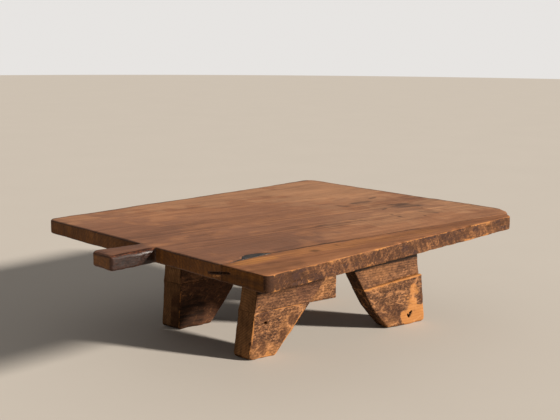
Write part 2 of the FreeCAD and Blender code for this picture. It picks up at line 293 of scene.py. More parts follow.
def rounded_outline(corners: list[Point2], radii: list[float], step: float) -> Outline:
    """Outline through corners, with an arc at each and even steps along the sides.

    Args:
        corners: Corner places, anticlockwise.
        radii: One radius per corner.
        step: Spacing of the points along the sides.

    Returns:
        The outline. Side i runs from corner i to the next. An arc turns the outward normal of one side
        into that of the next, and its places lie one radius from its centre along that normal. The room
        for an arris grows with the distance from the outward corners.
    """
    places = np.array(corners)
    sides = np.roll(places, -1, axis=0) - places
    lengths = np.linalg.norm(sides, axis=1)
    ways = sides / lengths[:, None]
    turns = [math.atan2(a[0] * b[1] - a[1] * b[0], a @ b) for a, b in zip(np.roll(ways, 1, axis=0), ways)]
    cuts = [radius * math.tan(abs(turn) / 2) for radius, turn in zip(radii, turns)]
    points, normals, before, after, blend, travel, middles = [], [], [], [], [], [], []
    for i, (corner, radius, turn) in enumerate(zip(places, radii, turns)):
        incoming, outgoing = ways[i - 1], ways[i]
        bends = max(4, math.ceil(2 * radius * abs(turn) / step)) if abs(turn) > STRAIGHT else 0
        share = np.linspace(0.0, 1.0, bends + 1)
        heading = math.atan2(-incoming[0], incoming[1]) + share * turn
        outward = np.column_stack([np.cos(heading), np.sin(heading)])
        first = corner - incoming * cuts[i]
        centre = first - outward[0] * radius * math.copysign(1.0, turn)
        arc = centre + outward * radius * math.copysign(1.0, turn)
        last = corner + outgoing * cuts[i]
        straight = lengths[i] - cuts[i] - cuts[(i + 1) % len(places)]
        run = np.linspace(0.0, straight, max(2, round(straight / step)) + 1)[1:-1]
        points += [arc, last + run[:, None] * outgoing]
        normals += [outward, np.tile((outgoing[1], -outgoing[0]), (len(run), 1))]
        before += [np.full(len(share), (i - 1) % len(places)), np.full(len(run), i)]
        after += [np.full(len(share) + len(run), i)]
        blend += [share, np.zeros(len(run))]
        travel += [np.zeros(len(share)), run / straight]
        middles.append(arc[len(arc) // 2])
    arrays = [np.concatenate(part) for part in (points, normals, before, after, blend, travel)]
    distance = np.linalg.norm(arrays[0][:, None] - np.array(middles)[None], axis=2)
    room = np.where(np.array(turns) > 0, 0.6 * np.array(radii) + 0.2 * distance, np.inf).min(axis=1)
    return Outline(*arrays, np.array(middles), room)


def inner_points(ring: np.ndarray, spacing: float,
                 extra: np.ndarray) -> tuple[np.ndarray, np.ndarray, np.ndarray]:
    """Points of a square grid that lie inside a ring, clear of it.

    Args:
        ring: Closed polygon, two numbers per row.
        spacing: Spacing of the grid.
        extra: Further points to add where detail is small.

    Returns:
        The points, their distances from the ring and the ring points nearest to them. A point is inside
        where a line from it to one side crosses the polygon an odd number of times.
    """
    low, high = ring.min(axis=0), ring.max(axis=0)
    ticks = [np.arange(low[k] + spacing / 2, high[k], spacing) for k in (0, 1)]
    grid = np.stack(np.meshgrid(*ticks), axis=-1).reshape(-1, 2)
    if len(extra):
        clear = np.linalg.norm(grid[:, None] - extra[None], axis=2).min(axis=1) > spacing / 2
        grid = np.vstack([grid[clear], extra])
    following = np.roll(ring, -1, axis=0)
    kept, distances, nearest = [], [], []
    for block in np.array_split(grid, max(1, len(grid) // GRID_ROWS)):
        above = (ring[:, 1] > block[:, 1:]) != (following[:, 1] > block[:, 1:])
        rise = np.where(following[:, 1] == ring[:, 1], 1.0, following[:, 1] - ring[:, 1])
        cross = ring[:, 0] + (block[:, 1:] - ring[:, 1]) / rise * (following[:, 0] - ring[:, 0])
        inside = (above & (block[:, :1] < cross)).sum(axis=1) % 2 == 1
        gaps = np.linalg.norm(block[:, None] - ring[None], axis=2)
        away = gaps.min(axis=1)
        good = inside & (away > 0.45 * min(spacing, 0.004))
        kept.append(block[good])
        distances.append(away[good])
        nearest.append(gaps.argmin(axis=1)[good])
    return np.concatenate(kept), np.concatenate(distances), np.concatenate(nearest)


def fill_face(ring: np.ndarray, inner: np.ndarray) -> np.ndarray:
    """Triangles that fill a ring.

    Args:
        ring: Closed polygon, anticlockwise.
        inner: Points inside it.

    Returns:
        Anticlockwise triangles of point numbers, which count the ring's points first.
    """
    places = np.vstack([ring, inner])
    loop = [(i, (i + 1) % len(ring)) for i in range(len(ring))]
    found = delaunay_2d_cdt(places.tolist(), loop, [], 1, 1e-9)
    if len(found[0]) != len(places):
        raise ValueError("the outline of a face crosses itself")
    triangles = np.array(found[2])
    a, b, c = (places[triangles[:, k]] for k in range(3))
    area = (b[:, 0] - a[:, 0]) * (c[:, 1] - a[:, 1]) - (b[:, 1] - a[:, 1]) * (c[:, 0] - a[:, 0])
    return np.where(area[:, None] > 0, triangles, triangles[:, ::-1])


@dataclass
class Shell:
    """Closed surface of one piece, before it becomes a mesh.

    places holds two numbers in the plane of the piece's outline and the depth below its front face, until
    they are placed in space. edge is the closeness to an arris, and face is 0 on the front face, 1 on the
    sides and 2 on the back face.
    """

    places: np.ndarray
    quads: np.ndarray
    triangles: np.ndarray
    edge: np.ndarray
    face: np.ndarray
    marks: dict[Mark, np.ndarray] = field(default_factory=dict)

    def normals(self) -> np.ndarray:
        """Normals of the points.

        Returns:
            Unit vectors: the summed normals of the faces round each point.
        """
        total = np.zeros_like(self.places)
        for faces in (self.quads, self.triangles):
            corner = self.places[faces]
            across = np.cross(corner[:, 2] - corner[:, 0], corner[:, -1] - corner[:, 1])
            for k in range(faces.shape[1]):
                np.add.at(total, faces[:, k], across)
        return total / np.maximum(np.linalg.norm(total, axis=1), TINY)[:, None]

    def wear(self, swell: float, chatter: float, seed: int, dents: tuple[Dent, ...] = ()) -> None:
        """Move the points along their normals by broad waves, rough edges and dents.

        Args:
            swell: Height of the broad waves.
            chatter: Height of the small bumps, which are strongest near the edges.
            seed: Choice of the noise.
            dents: Marks torn into the surface.
        """
        height = swell * fractal(self.places, 0.11, seed)
        height += chatter * (0.25 + 0.75 * self.edge) * fractal(self.places, 0.014, seed + 9)
        height -= 1.6 * chatter * self.edge * ease(fractal(self.places, 0.03, seed + 17), 0.35, 0.9)
        for dent in dents:
            height -= dent.depth * dent.pressed(self.places)
        self.places = self.places + self.normals() * height[:, None]

    def to_object(self, name: str) -> bpy.types.Object:
        """Mesh object of the shell.

        Args:
            name: Name of the object and its mesh.

        Returns:
            The object, with its masks as point attributes.
        """
        mesh = bpy.data.meshes.new(name)
        loops = np.concatenate([self.quads.ravel(), self.triangles.ravel()])
        quad_starts = 4 * np.arange(len(self.quads))
        triangle_starts = 4 * len(self.quads) + 3 * np.arange(len(self.triangles))
        starts = np.concatenate([quad_starts, triangle_starts])
        mesh.vertices.add(len(self.places))
        mesh.vertices.foreach_set("co", self.places.astype(np.float32).ravel())
        mesh.loops.add(len(loops))
        mesh.loops.foreach_set("vertex_index", loops.astype(np.int32))
        mesh.polygons.add(len(starts))
        mesh.polygons.foreach_set("loop_start", starts.astype(np.int32))
        mesh.polygons.foreach_set("use_smooth", np.ones(len(starts), dtype=bool))
        grain = (math.cos(GRAIN_TURN), -math.sin(GRAIN_TURN), 0.0)
        masks = {mark: np.zeros(len(self.places)) for mark in Mark} | {
            Mark.EDGE: self.edge,
            Mark.SIDE: 1.0 * (self.face == 1),
            Mark.UNDER: 1.0 * (self.face == 2),
            Mark.END: ease(abs(self.normals() @ grain), 0.85, 0.95),
        } | self.marks
        for mark, values in masks.items():
            layer = mesh.attributes.new(mark.value, "FLOAT", "POINT")
            layer.data.foreach_set("value", values.astype(np.float32))
        mesh.update(calc_edges=True)
        mesh.validate()
        made = bpy.data.objects.new(name, mesh)
        bpy.context.scene.collection.objects.link(made)
        return made


@dataclass(frozen=True)
class Block:
    """A flat piece: an outline, its thickness, and how its arrises are rounded.

    face_step, back_step and side_step space the points over both faces and across the sides. corner_edge and
    edge_gain say how bare the corners and arrises are rubbed, facet is 0 for a round arris and 1 for a flat
    one, slant moves the outline with the depth, and sunk lowers its front arris. extra holds more points of
    the front face.
    """

    outline: Outline
    thickness: float
    front_arris: np.ndarray
    back_arris: np.ndarray
    face_step: float
    back_step: float
    side_step: float
    corner_edge: np.ndarray
    edge_gain: np.ndarray
    facet: np.ndarray | float = 0.25
    slant: np.ndarray | float = 0.0
    sunk: np.ndarray | float = 0.0
    extra: np.ndarray = field(default_factory=lambda: NO_POINTS)
    edge_reach: float = 0.0035
    back_edge: float = 0.6
    arris_rows: int = 6

    def shell(self) -> Shell:
        """Closed shell of the piece.

        Returns:
            The shell. A profile of an arris, a straight side and a second arris is carried along the outline.
            At an angle a of a round arris, the place lies the radius times (1 - sin a) inside the outline and
            the radius times (1 - cos a) below the face, and a faceted arris is the straight line between the
            ends of that round. Triangles fill the first and last rings of the profile.
        """
        angle = np.linspace(0.0, QUARTER_TURN, self.arris_rows)[:, None]
        top = np.zeros(len(self.outline.points)) + self.sunk
        flat = self.thickness - top - self.front_arris - self.back_arris
        share = np.linspace(0.0, 1.0, max(3, math.ceil(self.thickness / self.side_step)) + 1)[1:-1, None]
        along = angle / QUARTER_TURN
        inward = (1 - self.facet) * (1 - np.sin(angle)) + self.facet * (1 - along)
        downward = (1 - self.facet) * (1 - np.cos(angle)) + self.facet * along
        inset = np.vstack([
            self.front_arris * inward,
            np.zeros((len(share), len(top))),
            self.back_arris * inward[::-1],
        ])
        depth = np.vstack([
            top + self.front_arris * downward,
            top + self.front_arris + share * flat,
            self.thickness - self.back_arris * downward[::-1],
        ])
        from_crest = abs(angle - QUARTER_TURN / 2)
        beyond = np.full((self.arris_rows, len(top)), self.thickness)
        near_front = np.vstack([
            from_crest * self.front_arris,
            share * flat + QUARTER_TURN / 2 * self.front_arris,
            beyond,
        ])
        near_back = np.vstack([
            beyond,
            (1 - share) * flat + QUARTER_TURN / 2 * self.back_arris,
            from_crest[::-1] * self.back_arris,
        ])
        plan = self.outline.points - self.outline.normals * inset[..., None]
        plan = plan + self.slant * (depth / self.thickness)[..., None]
        rows, columns = depth.shape
        band = np.concatenate([plan, depth[..., None]], axis=2).reshape(-1, 3)
        front_edge = np.exp(-near_front / self.edge_reach)
        back_edge = self.back_edge * np.exp(-near_back / self.edge_reach)
        edge = np.maximum(np.maximum(front_edge, back_edge) * self.edge_gain, self.corner_edge).ravel()
        index = np.arange(rows * columns).reshape(rows, columns)
        beside = np.roll(index, -1, axis=1)
        quads = np.stack([index[:-1], index[1:], beside[1:], beside[:-1]], axis=2).reshape(-1, 4)
        places, edges, faces, triangles = [band], [edge], [np.ones(len(band))], []
        count = len(band)
        for face, row, spacing, level, extra in (
                (0, 0, self.face_step, 0.0, self.extra),
                (2, rows - 1, self.back_step, self.thickness, NO_POINTS)):
            inner, away, nearest = inner_points(plan[row], spacing, extra)
            numbers = np.concatenate([index[row], count + np.arange(len(inner))])
            found = numbers[fill_face(plan[row], inner)]
            triangles.append(found if face == 0 else found[:, ::-1])
            places.append(np.hstack([inner, np.full((len(inner), 1), level)]))
            edges.append(np.exp(-(away + 0.002) / self.edge_reach) * self.edge_gain[nearest])
            faces.append(np.full(len(inner), float(face)))
            count += len(inner)
        face = np.concatenate(faces)
        face[index[: self.arris_rows // 2].ravel()] = 0.0
        face[index[rows - self.arris_rows // 2:].ravel()] = 2.0
        return Shell(np.vstack(places), quads, np.vstack(triangles), np.concatenate(edges), face)


@dataclass(frozen=True)
class Side:
    """One side of an outline, with the corner where it starts.

    radius is the corner's, in metres. sawing is how uneven the side is, and front and back are its arrises on
    both faces, in millimetres. edge_wear and corner_wear say how bare the arrises and the corner are rubbed,
    and facet is 0 for a round arris and 1 for a flat one. Jointed sides keep the seam's distance from the
    joint, and skewed corners follow the skew of an end.
    """

    radius: float
    sawing: float
    front: float
    back: float
    edge_wear: float
    corner_wear: float = 0.0
    facet: float = 0.25
    jointed: bool = False
    skewed: bool = False


@dataclass(frozen=True)
class Cut:
    """How a flat piece is cut out and rubbed.

    step, side_step, face_step and back_step space the mesh's points along the outline, across its sides and
    over both faces. wave and wave_seed draw the uneven sawing, rub, rub_size and rub_seed the uneven
    arrises, and corner_reach is how far a corner's wear spreads.
    """

    step: float
    side_step: float
    face_step: float
    back_step: float
    wave: float
    wave_seed: int
    rub: float
    rub_size: float
    rub_seed: int
    corner_reach: float

    def seeded(self, seed: int) -> "Cut":
        """The same cut with other uneven edges."""
        return replace(self, wave_seed=self.wave_seed + seed, rub_seed=self.rub_seed + seed)

    def outline(self, corners: list[Point2], sides: list[Side], seam: float = 0.0) -> Outline:
        """Outline of a piece.

        Args:
            corners: Corner places, anticlockwise.
            sides: The side that starts at each corner.
            seam: Distance that jointed sides keep from the joint.

        Returns:
            The rounded outline, moved along its normals by the uneven sawing, less the seam.
        """
        smooth = rounded_outline(corners, [side.radius for side in sides], self.step)
        sawing = smooth.wobble([side.sawing for side in sides], self.wave, self.wave_seed)
        return smooth.pushed(sawing - smooth.per_side([seam * side.jointed for side in sides]))

    def shell(self, outline: Outline, sides: list[Side], thickness: float, rub: np.ndarray | float = 1.0,
              skew: float = 0.0, **more: np.ndarray | float) -> Shell:
        """Closed shell of a piece.

        Args:
            outline: The piece's outline.
            sides: The side that starts at each of its corners.
            thickness: The piece's thickness.
            rub: Factor on the arrises.
            skew: How far the skewed corners move along the piece from its front face to its back.
            more: Other fields of the block.

        Returns:
            The shell of the block, with arrises that vary by noise.
        """
        noise = fractal(in_space(outline.points), self.rub_size, self.rub_seed)
        uneven = (1.0 + self.rub * noise) * rub
        skewed = outline.per_corner([float(side.skewed) for side in sides])
        return Block(
            outline=outline,
            thickness=thickness,
            front_arris=outline.arris([side.front for side in sides], uneven),
            back_arris=outline.arris([side.back for side in sides], uneven),
            face_step=self.face_step,
            back_step=self.back_step,
            side_step=self.side_step,
            corner_edge=outline.near_corner([side.corner_wear for side in sides], self.corner_reach),
            edge_gain=outline.per_side([side.edge_wear for side in sides]),
            facet=outline.per_side([side.facet for side in sides]),
            slant=np.column_stack([-skew * skewed, np.zeros(len(skewed))]),
            **more,
        ).shell()


def ring_points(middle: Point2, radii: tuple[float, ...], count: int = 12) -> np.ndarray:
    """Points on circles round a place, for small detail there.

    Args:
        middle: The place.
        radii: Radii of the circles.
        count: Number of points on each.

    Returns:
        The place, and each radius times the unit circle round it.
    """
    angles = np.arange(count) * 2 * math.pi / count
    unit = np.column_stack([np.cos(angles), np.sin(angles)])
    return np.vstack([np.array([middle]), *(np.array(middle) + radius * unit for radius in radii)])


def turned(points: np.ndarray, middle: float) -> np.ndarray:
    """Places of the base in the table's frame.

    Args:
        points: Places along the rails, across them and up.
        middle: Place of the middle of the top along X.

    Returns:
        The places, turned with the grain about the middle of the top.
    """
    cosine, sine = math.cos(GRAIN_TURN), math.sin(GRAIN_TURN)
    x = points[:, 0] * cosine + points[:, 1] * sine + middle
    y = points[:, 1] * cosine - points[:, 0] * sine
    return np.column_stack([x, y, points[:, 2]])


def settle(piece: bpy.types.Object, node: str, material: bpy.types.Material) -> None:
    """Let a piece stand for a solid and ride on the table's body.

    Args:
        piece: The new piece.
        node: The solid that it replaces.
        material: Its finish.
    """
    piece.data.materials.append(material)
    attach(piece, BODY)
    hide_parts(node)
    LOG.info("%s: %d points", piece.name, len(piece.data.vertices))


# Node trees


Socket = bpy.types.NodeSocket
Source = bpy.types.NodeSocket | float | tuple[float, ...]
MIX_SHARE, MIX_FIRST, MIX_SECOND, MIX_RESULT = 0, 6, 7, 2


class Graph:
    """Short words for building a node tree."""

    def __init__(self, tree: bpy.types.NodeTree) -> None:
        """Keep the tree."""
        self.tree = tree

    def feed(self, target: Socket, source: Source) -> None:
        """Link a socket into another, or set its value.

        Args:
            target: The input to feed.
            source: A socket or a value.
        """
        if isinstance(source, bpy.types.NodeSocket):
            self.tree.links.new(source, target)
        elif isinstance(source, tuple) and target.type == "RGBA":
            target.default_value = (*source[:3], 1.0)
        else:
            target.default_value = source

    def add(self, kind: str, settings: dict[str, object] | None = None, **inputs: Source) -> bpy.types.Node:
        """New node.

        Args:
            kind: Type of the node.
            settings: Its settings by name.
            inputs: Its inputs by name, with underscores for spaces.

        Returns:
            The node.
        """
        node = self.tree.nodes.new(kind)
        for key, setting in (settings or {}).items():
            setattr(node, key, setting)
        for key, source in inputs.items():
            self.feed(node.inputs[key.replace("_", " ")], source)
        return node

    def numbered(self, kind: str, settings: dict[str, object], sources: dict[int, Source],
                 output: int = 0) -> Socket:
        """Result of a node whose inputs share their names.

        Args:
            kind: Type of the node.
            settings: Its settings by name.
            sources: Its inputs by number.
            output: Number of its output.

        Returns:
            The output.
        """
        node = self.add(kind, settings)
        for number, source in sources.items():
            self.feed(node.inputs[number], source)
        return node.outputs[output]

    def math(self, operation: str, first: Source, second: Source = 0.0, clamp: bool = False) -> Socket:
        """Result of one sum of values."""
        settings = {"operation": operation, "use_clamp": clamp}
        return self.numbered("ShaderNodeMath", settings, {0: first, 1: second})

    def vector(self, operation: str, first: Source, second: Source) -> Socket:
        """Result of one sum of vectors."""
        return self.numbered("ShaderNodeVectorMath", {"operation": operation}, {0: first, 1: second})

    def times(self, first: Source, second: Source, clamp: bool = False) -> Socket:
        """Product of two values."""
        return self.math("MULTIPLY", first, second, clamp)

    def plus(self, first: Source, second: Source) -> Socket:
        """Sum of two values."""
        return self.math("ADD", first, second)

    def less(self, first: Source, second: Source, clamp: bool = False) -> Socket:
        """Difference of two values."""
        return self.math("SUBTRACT", first, second, clamp)

    def rest(self, share: Source) -> Socket:
        """What a share leaves of 1."""
        return self.math("SUBTRACT", 1.0, share)

    def most(self, first: Source, second: Source, clamp: bool = False) -> Socket:
        """Larger of two values."""
        return self.math("MAXIMUM", first, second, clamp)

    def swing(self, value: Source, gain: float) -> Socket:
        """How far a value lies from one half, multiplied."""
        return self.times(self.less(value, 0.5), gain)

    def between(self, first: Source, second: Source, share: float) -> Socket:
        """Value part of the way from one to another."""
        return self.plus(self.times(first, 1.0 - share), self.times(second, share))

    def span(self, value: Source, low: Source, high: Source) -> Socket:
        """Smooth step from 0 at low to 1 at high."""
        smooth = {"interpolation_type": "SMOOTHSTEP"}
        return self.add("ShaderNodeMapRange", smooth, Value=value, From_Min=low, From_Max=high).outputs[0]

    def noise(self, vector: Source, factors: Point3, detail: float = 3.0, rough: float = 0.55,
              output: str = "Fac") -> Socket:
        """Noise over space.

        Args:
            vector: Places.
            factors: Cells per metre along each axis.
            detail: Number of finer layers.
            rough: Strength of the finer layers.
            output: Output to take: a value or a colour.

        Returns:
            The noise.
        """
        node = self.add("ShaderNodeTexNoise", Vector=self.vector("MULTIPLY", vector, factors), Scale=1.0,
                        Detail=detail, Roughness=rough)
        return node.outputs[output]

    def cracks(self, vector: Source, width: float) -> Socket:
        """Lines of a share of a cell's width between the cells of a vector."""
        cells = self.add("ShaderNodeTexVoronoi", {"feature": "DISTANCE_TO_EDGE"}, Vector=vector, Scale=1.0)
        return self.rest(self.span(cells.outputs["Distance"], 0.0, width))

    def mapped(self, vector: Source, turn: Point3, shift: Point3 = (0.0, 0.0, 0.0)) -> Socket:
        """Vector turned about the three axes, then shifted."""
        return self.add("ShaderNodeMapping", Vector=vector, Location=shift, Rotation=turn).outputs[0]

    def mix(self, share: Source, first: Source, second: Source) -> Socket:
        """Colour between two, by a share."""
        sources = {MIX_SHARE: share, MIX_FIRST: first, MIX_SECOND: second}
        return self.numbered("ShaderNodeMix", {"data_type": "RGBA"}, sources, MIX_RESULT)

    def ramp(self, value: Source, colours: Tones) -> Socket:
        """Colour along an even row of colours.

        Args:
            value: Place along the row, from 0 to 1.
            colours: The row.

        Returns:
            The colour.
        """
        node = self.add("ShaderNodeValToRGB", Fac=value)
        stops = node.color_ramp.elements
        for _ in colours[2:]:
            stops.new(0.5)
        for k, colour in enumerate(colours):
            stops[k].position = k / (len(colours) - 1)
            stops[k].color = (*colour, 1.0)
        return node.outputs[0]

    def mark(self, mark: Mark) -> Socket:
        """One of the piece's own masks."""
        return self.add("ShaderNodeAttribute", {"attribute_name": mark.value}).outputs["Fac"]

    def relief(self, shader: bpy.types.Node, height: Source, distance: float) -> None:
        """Bump a shader by a height."""
        bump = self.add("ShaderNodeBump", Height=height, Strength=0.6, Distance=distance)
        self.feed(shader.inputs["Normal"], bump.outputs[0])


def new_material(name: str) -> tuple[bpy.types.Material, Graph, bpy.types.Node, Socket]:
    """Plain material.

    Args:
        name: Name of the material.

    Returns:
        The material, its graph, its shader and the object's coordinates.
    """
    material = bpy.data.materials.new(name)
    material.use_nodes = True
    graph = Graph(material.node_tree)
    place = graph.add("ShaderNodeTexCoord").outputs["Object"]
    return material, graph, material.node_tree.nodes["Principled BSDF"], place


def open_group(name: str, inputs: dict[str, float]) -> tuple[Graph, bpy.types.bpy_prop_collection]:
    """Shader node group without outputs.

    Args:
        name: Name of the group.
        inputs: Default of each input beside the vector.

    Returns:
        The group's graph and its inputs by name.
    """
    tree = bpy.data.node_groups.new(name, "ShaderNodeTree")
    tree.interface.new_socket(name="Vector", in_out="INPUT", socket_type="NodeSocketVector")
    for label, default in inputs.items():
        socket = tree.interface.new_socket(name=label, in_out="INPUT", socket_type="NodeSocketFloat")
        socket.default_value = default
    graph = Graph(tree)
    return graph, graph.add("NodeGroupInput").outputs


def close_group(graph: Graph, outputs: dict[str, Socket]) -> bpy.types.NodeTree:
    """Give a group its outputs.

    Args:
        graph: The group's graph.
        outputs: The values to put out, by name.

    Returns:
        The finished group.
    """
    for label in outputs:
        graph.tree.interface.new_socket(name=label, in_out="OUTPUT", socket_type="NodeSocketFloat")
    made = graph.add("NodeGroupOutput")
    for label, socket in outputs.items():
        graph.feed(made.inputs[label], socket)
    return graph.tree


def wood_figure_group() -> bpy.types.NodeTree:
    """Group that draws solid wood: growth rings round an axis along X, streaks, fibres and pores.

    Returns:
        The node group.
    """
    graph, given = open_group("wood_figure", {
        "Ring Width": 0.006, "Warp": 0.02, "Ring Share": 0.3, "Streak Share": 0.5})
    place = given["Vector"]
    bend = graph.noise(place, (1.7, 5.0, 5.0), detail=2.0, output="Color")
    bend = graph.vector("SUBTRACT", bend, (0.5, 0.5, 0.5))
    warped = graph.vector("ADD", place, graph.vector("MULTIPLY", bend, given["Warp"]))
    parts = graph.add("ShaderNodeSeparateXYZ", Vector=warped).outputs
    square = graph.plus(graph.math("POWER", parts["Y"], 2.0), graph.math("POWER", parts["Z"], 2.0))
    ring = graph.math("FRACT", graph.math("DIVIDE", graph.math("SQRT", square), given["Ring Width"]))
    late = graph.times(graph.span(ring, 0.3, 0.92), graph.rest(graph.span(ring, 0.92, 1.0)))
    lines = graph.noise(warped, (11.0, 110.0, 110.0), detail=4.0, rough=0.65)
    streak = graph.noise(warped, (4.5, 42.0, 42.0), detail=5.0, rough=0.62)
    streak = graph.swing(graph.between(streak, lines, 0.5), 2.4)
    cloud = graph.noise(place, (2.6, 8.0, 8.0))
    tone = graph.plus(0.5, graph.times(given["Streak Share"], streak))
    tone = graph.plus(tone, graph.swing(cloud, 1.1))
    tone = graph.less(tone, graph.times(late, given["Ring Share"]), clamp=True)
    checks = graph.span(graph.noise(warped, (8.0, 230.0, 230.0)), 0.60, 0.68)
    return close_group(graph, {
        "Tone": tone,
        "Lines": lines,
        "Fibre": graph.noise(warped, (22.0, 620.0, 620.0), detail=2.0),
        "Pores": graph.span(graph.noise(warped, (60.0, 900.0, 900.0), detail=1.0), 0.63, 0.74),
        "Checks": graph.times(checks, graph.span(cloud, 0.45, 0.6)),
    })


def patina_group() -> bpy.types.NodeTree:
    """Group that spreads wear: bare wood at worn edges and patches, grime in blotches, and scratches.

    Returns:
        The node group.
    """
    graph, given = open_group("patina", {"Edge": 0.0, "Bare": 0.0, "Bare Level": 0.0, "Grime Level": 0.0})
    place = given["Vector"]
    blotch = graph.noise(place, (30.0, 42.0, 42.0), detail=6.0, rough=0.68)
    fine = graph.noise(place, (150.0, 260.0, 260.0), rough=0.6)
    rubbed = graph.plus(graph.times(given["Edge"], 1.1), graph.times(given["Bare"], 1.15))
    rubbed = graph.plus(rubbed, graph.swing(blotch, 2.2))
    rubbed = graph.plus(rubbed, graph.swing(fine, 0.7))
    rubbed = graph.plus(rubbed, given["Bare Level"])
    soot = graph.noise(place, (24.0, 55.0, 55.0), detail=7.0, rough=0.7)
    scratches = 0.0
    for turn, reach, low in ((0.95, 42.0, 0.60), (0.6, 60.0, 0.62), (-0.8, 55.0, 0.64)):
        line = graph.noise(graph.mapped(place, (0.0, turn, 0.0)), (reach, 60.0, 430.0), rough=0.6)
        scratches = graph.most(scratches, graph.span(line, low, low + 0.1))
    broad_flecks = graph.noise(place, (45.0, 75.0, 70.0), detail=4.0, rough=0.6)
    small_flecks = graph.noise(place, (190.0, 380.0, 340.0), rough=0.6)
    pits = graph.noise(place, (190.0, 260.0, 260.0), detail=1.0)
    bent = graph.vector("ADD", graph.vector("MULTIPLY", place, (30.0, 30.0, 42.0)),
                        graph.noise(place, (28.0, 28.0, 28.0), output="Color"))
    sawn = graph.noise(graph.mapped(place, (0.0, 0.55, 0.0)), (150.0, 30.0, 26.0), detail=4.0, rough=0.6)
    return close_group(graph, {
        "Bare": graph.span(rubbed, 0.45, 0.85),
        "Grime": graph.span(graph.plus(soot, given["Grime Level"]), 0.48, 0.66),
        "Flecks": graph.span(graph.between(broad_flecks, small_flecks, 0.68), 0.40, 0.60),
        "Scratches": scratches,
        "Pits": graph.span(pits, 0.66, 0.76),
        "Cracks": graph.times(graph.cracks(bent, 0.09), graph.span(broad_flecks, 0.44, 0.58)),
        "Upright": graph.noise(place, (170.0, 170.0, 13.0), detail=4.0, rough=0.6),
        "Sawn": graph.span(sawn, 0.36, 0.64),
    })


# Finishes


def shades(colour: Colour) -> Tones:
    """A darker shade of a colour, the colour itself and a lighter shade."""
    return tuple(tuple(level * part for part in colour) for level in (0.66, 1.0, 1.34))


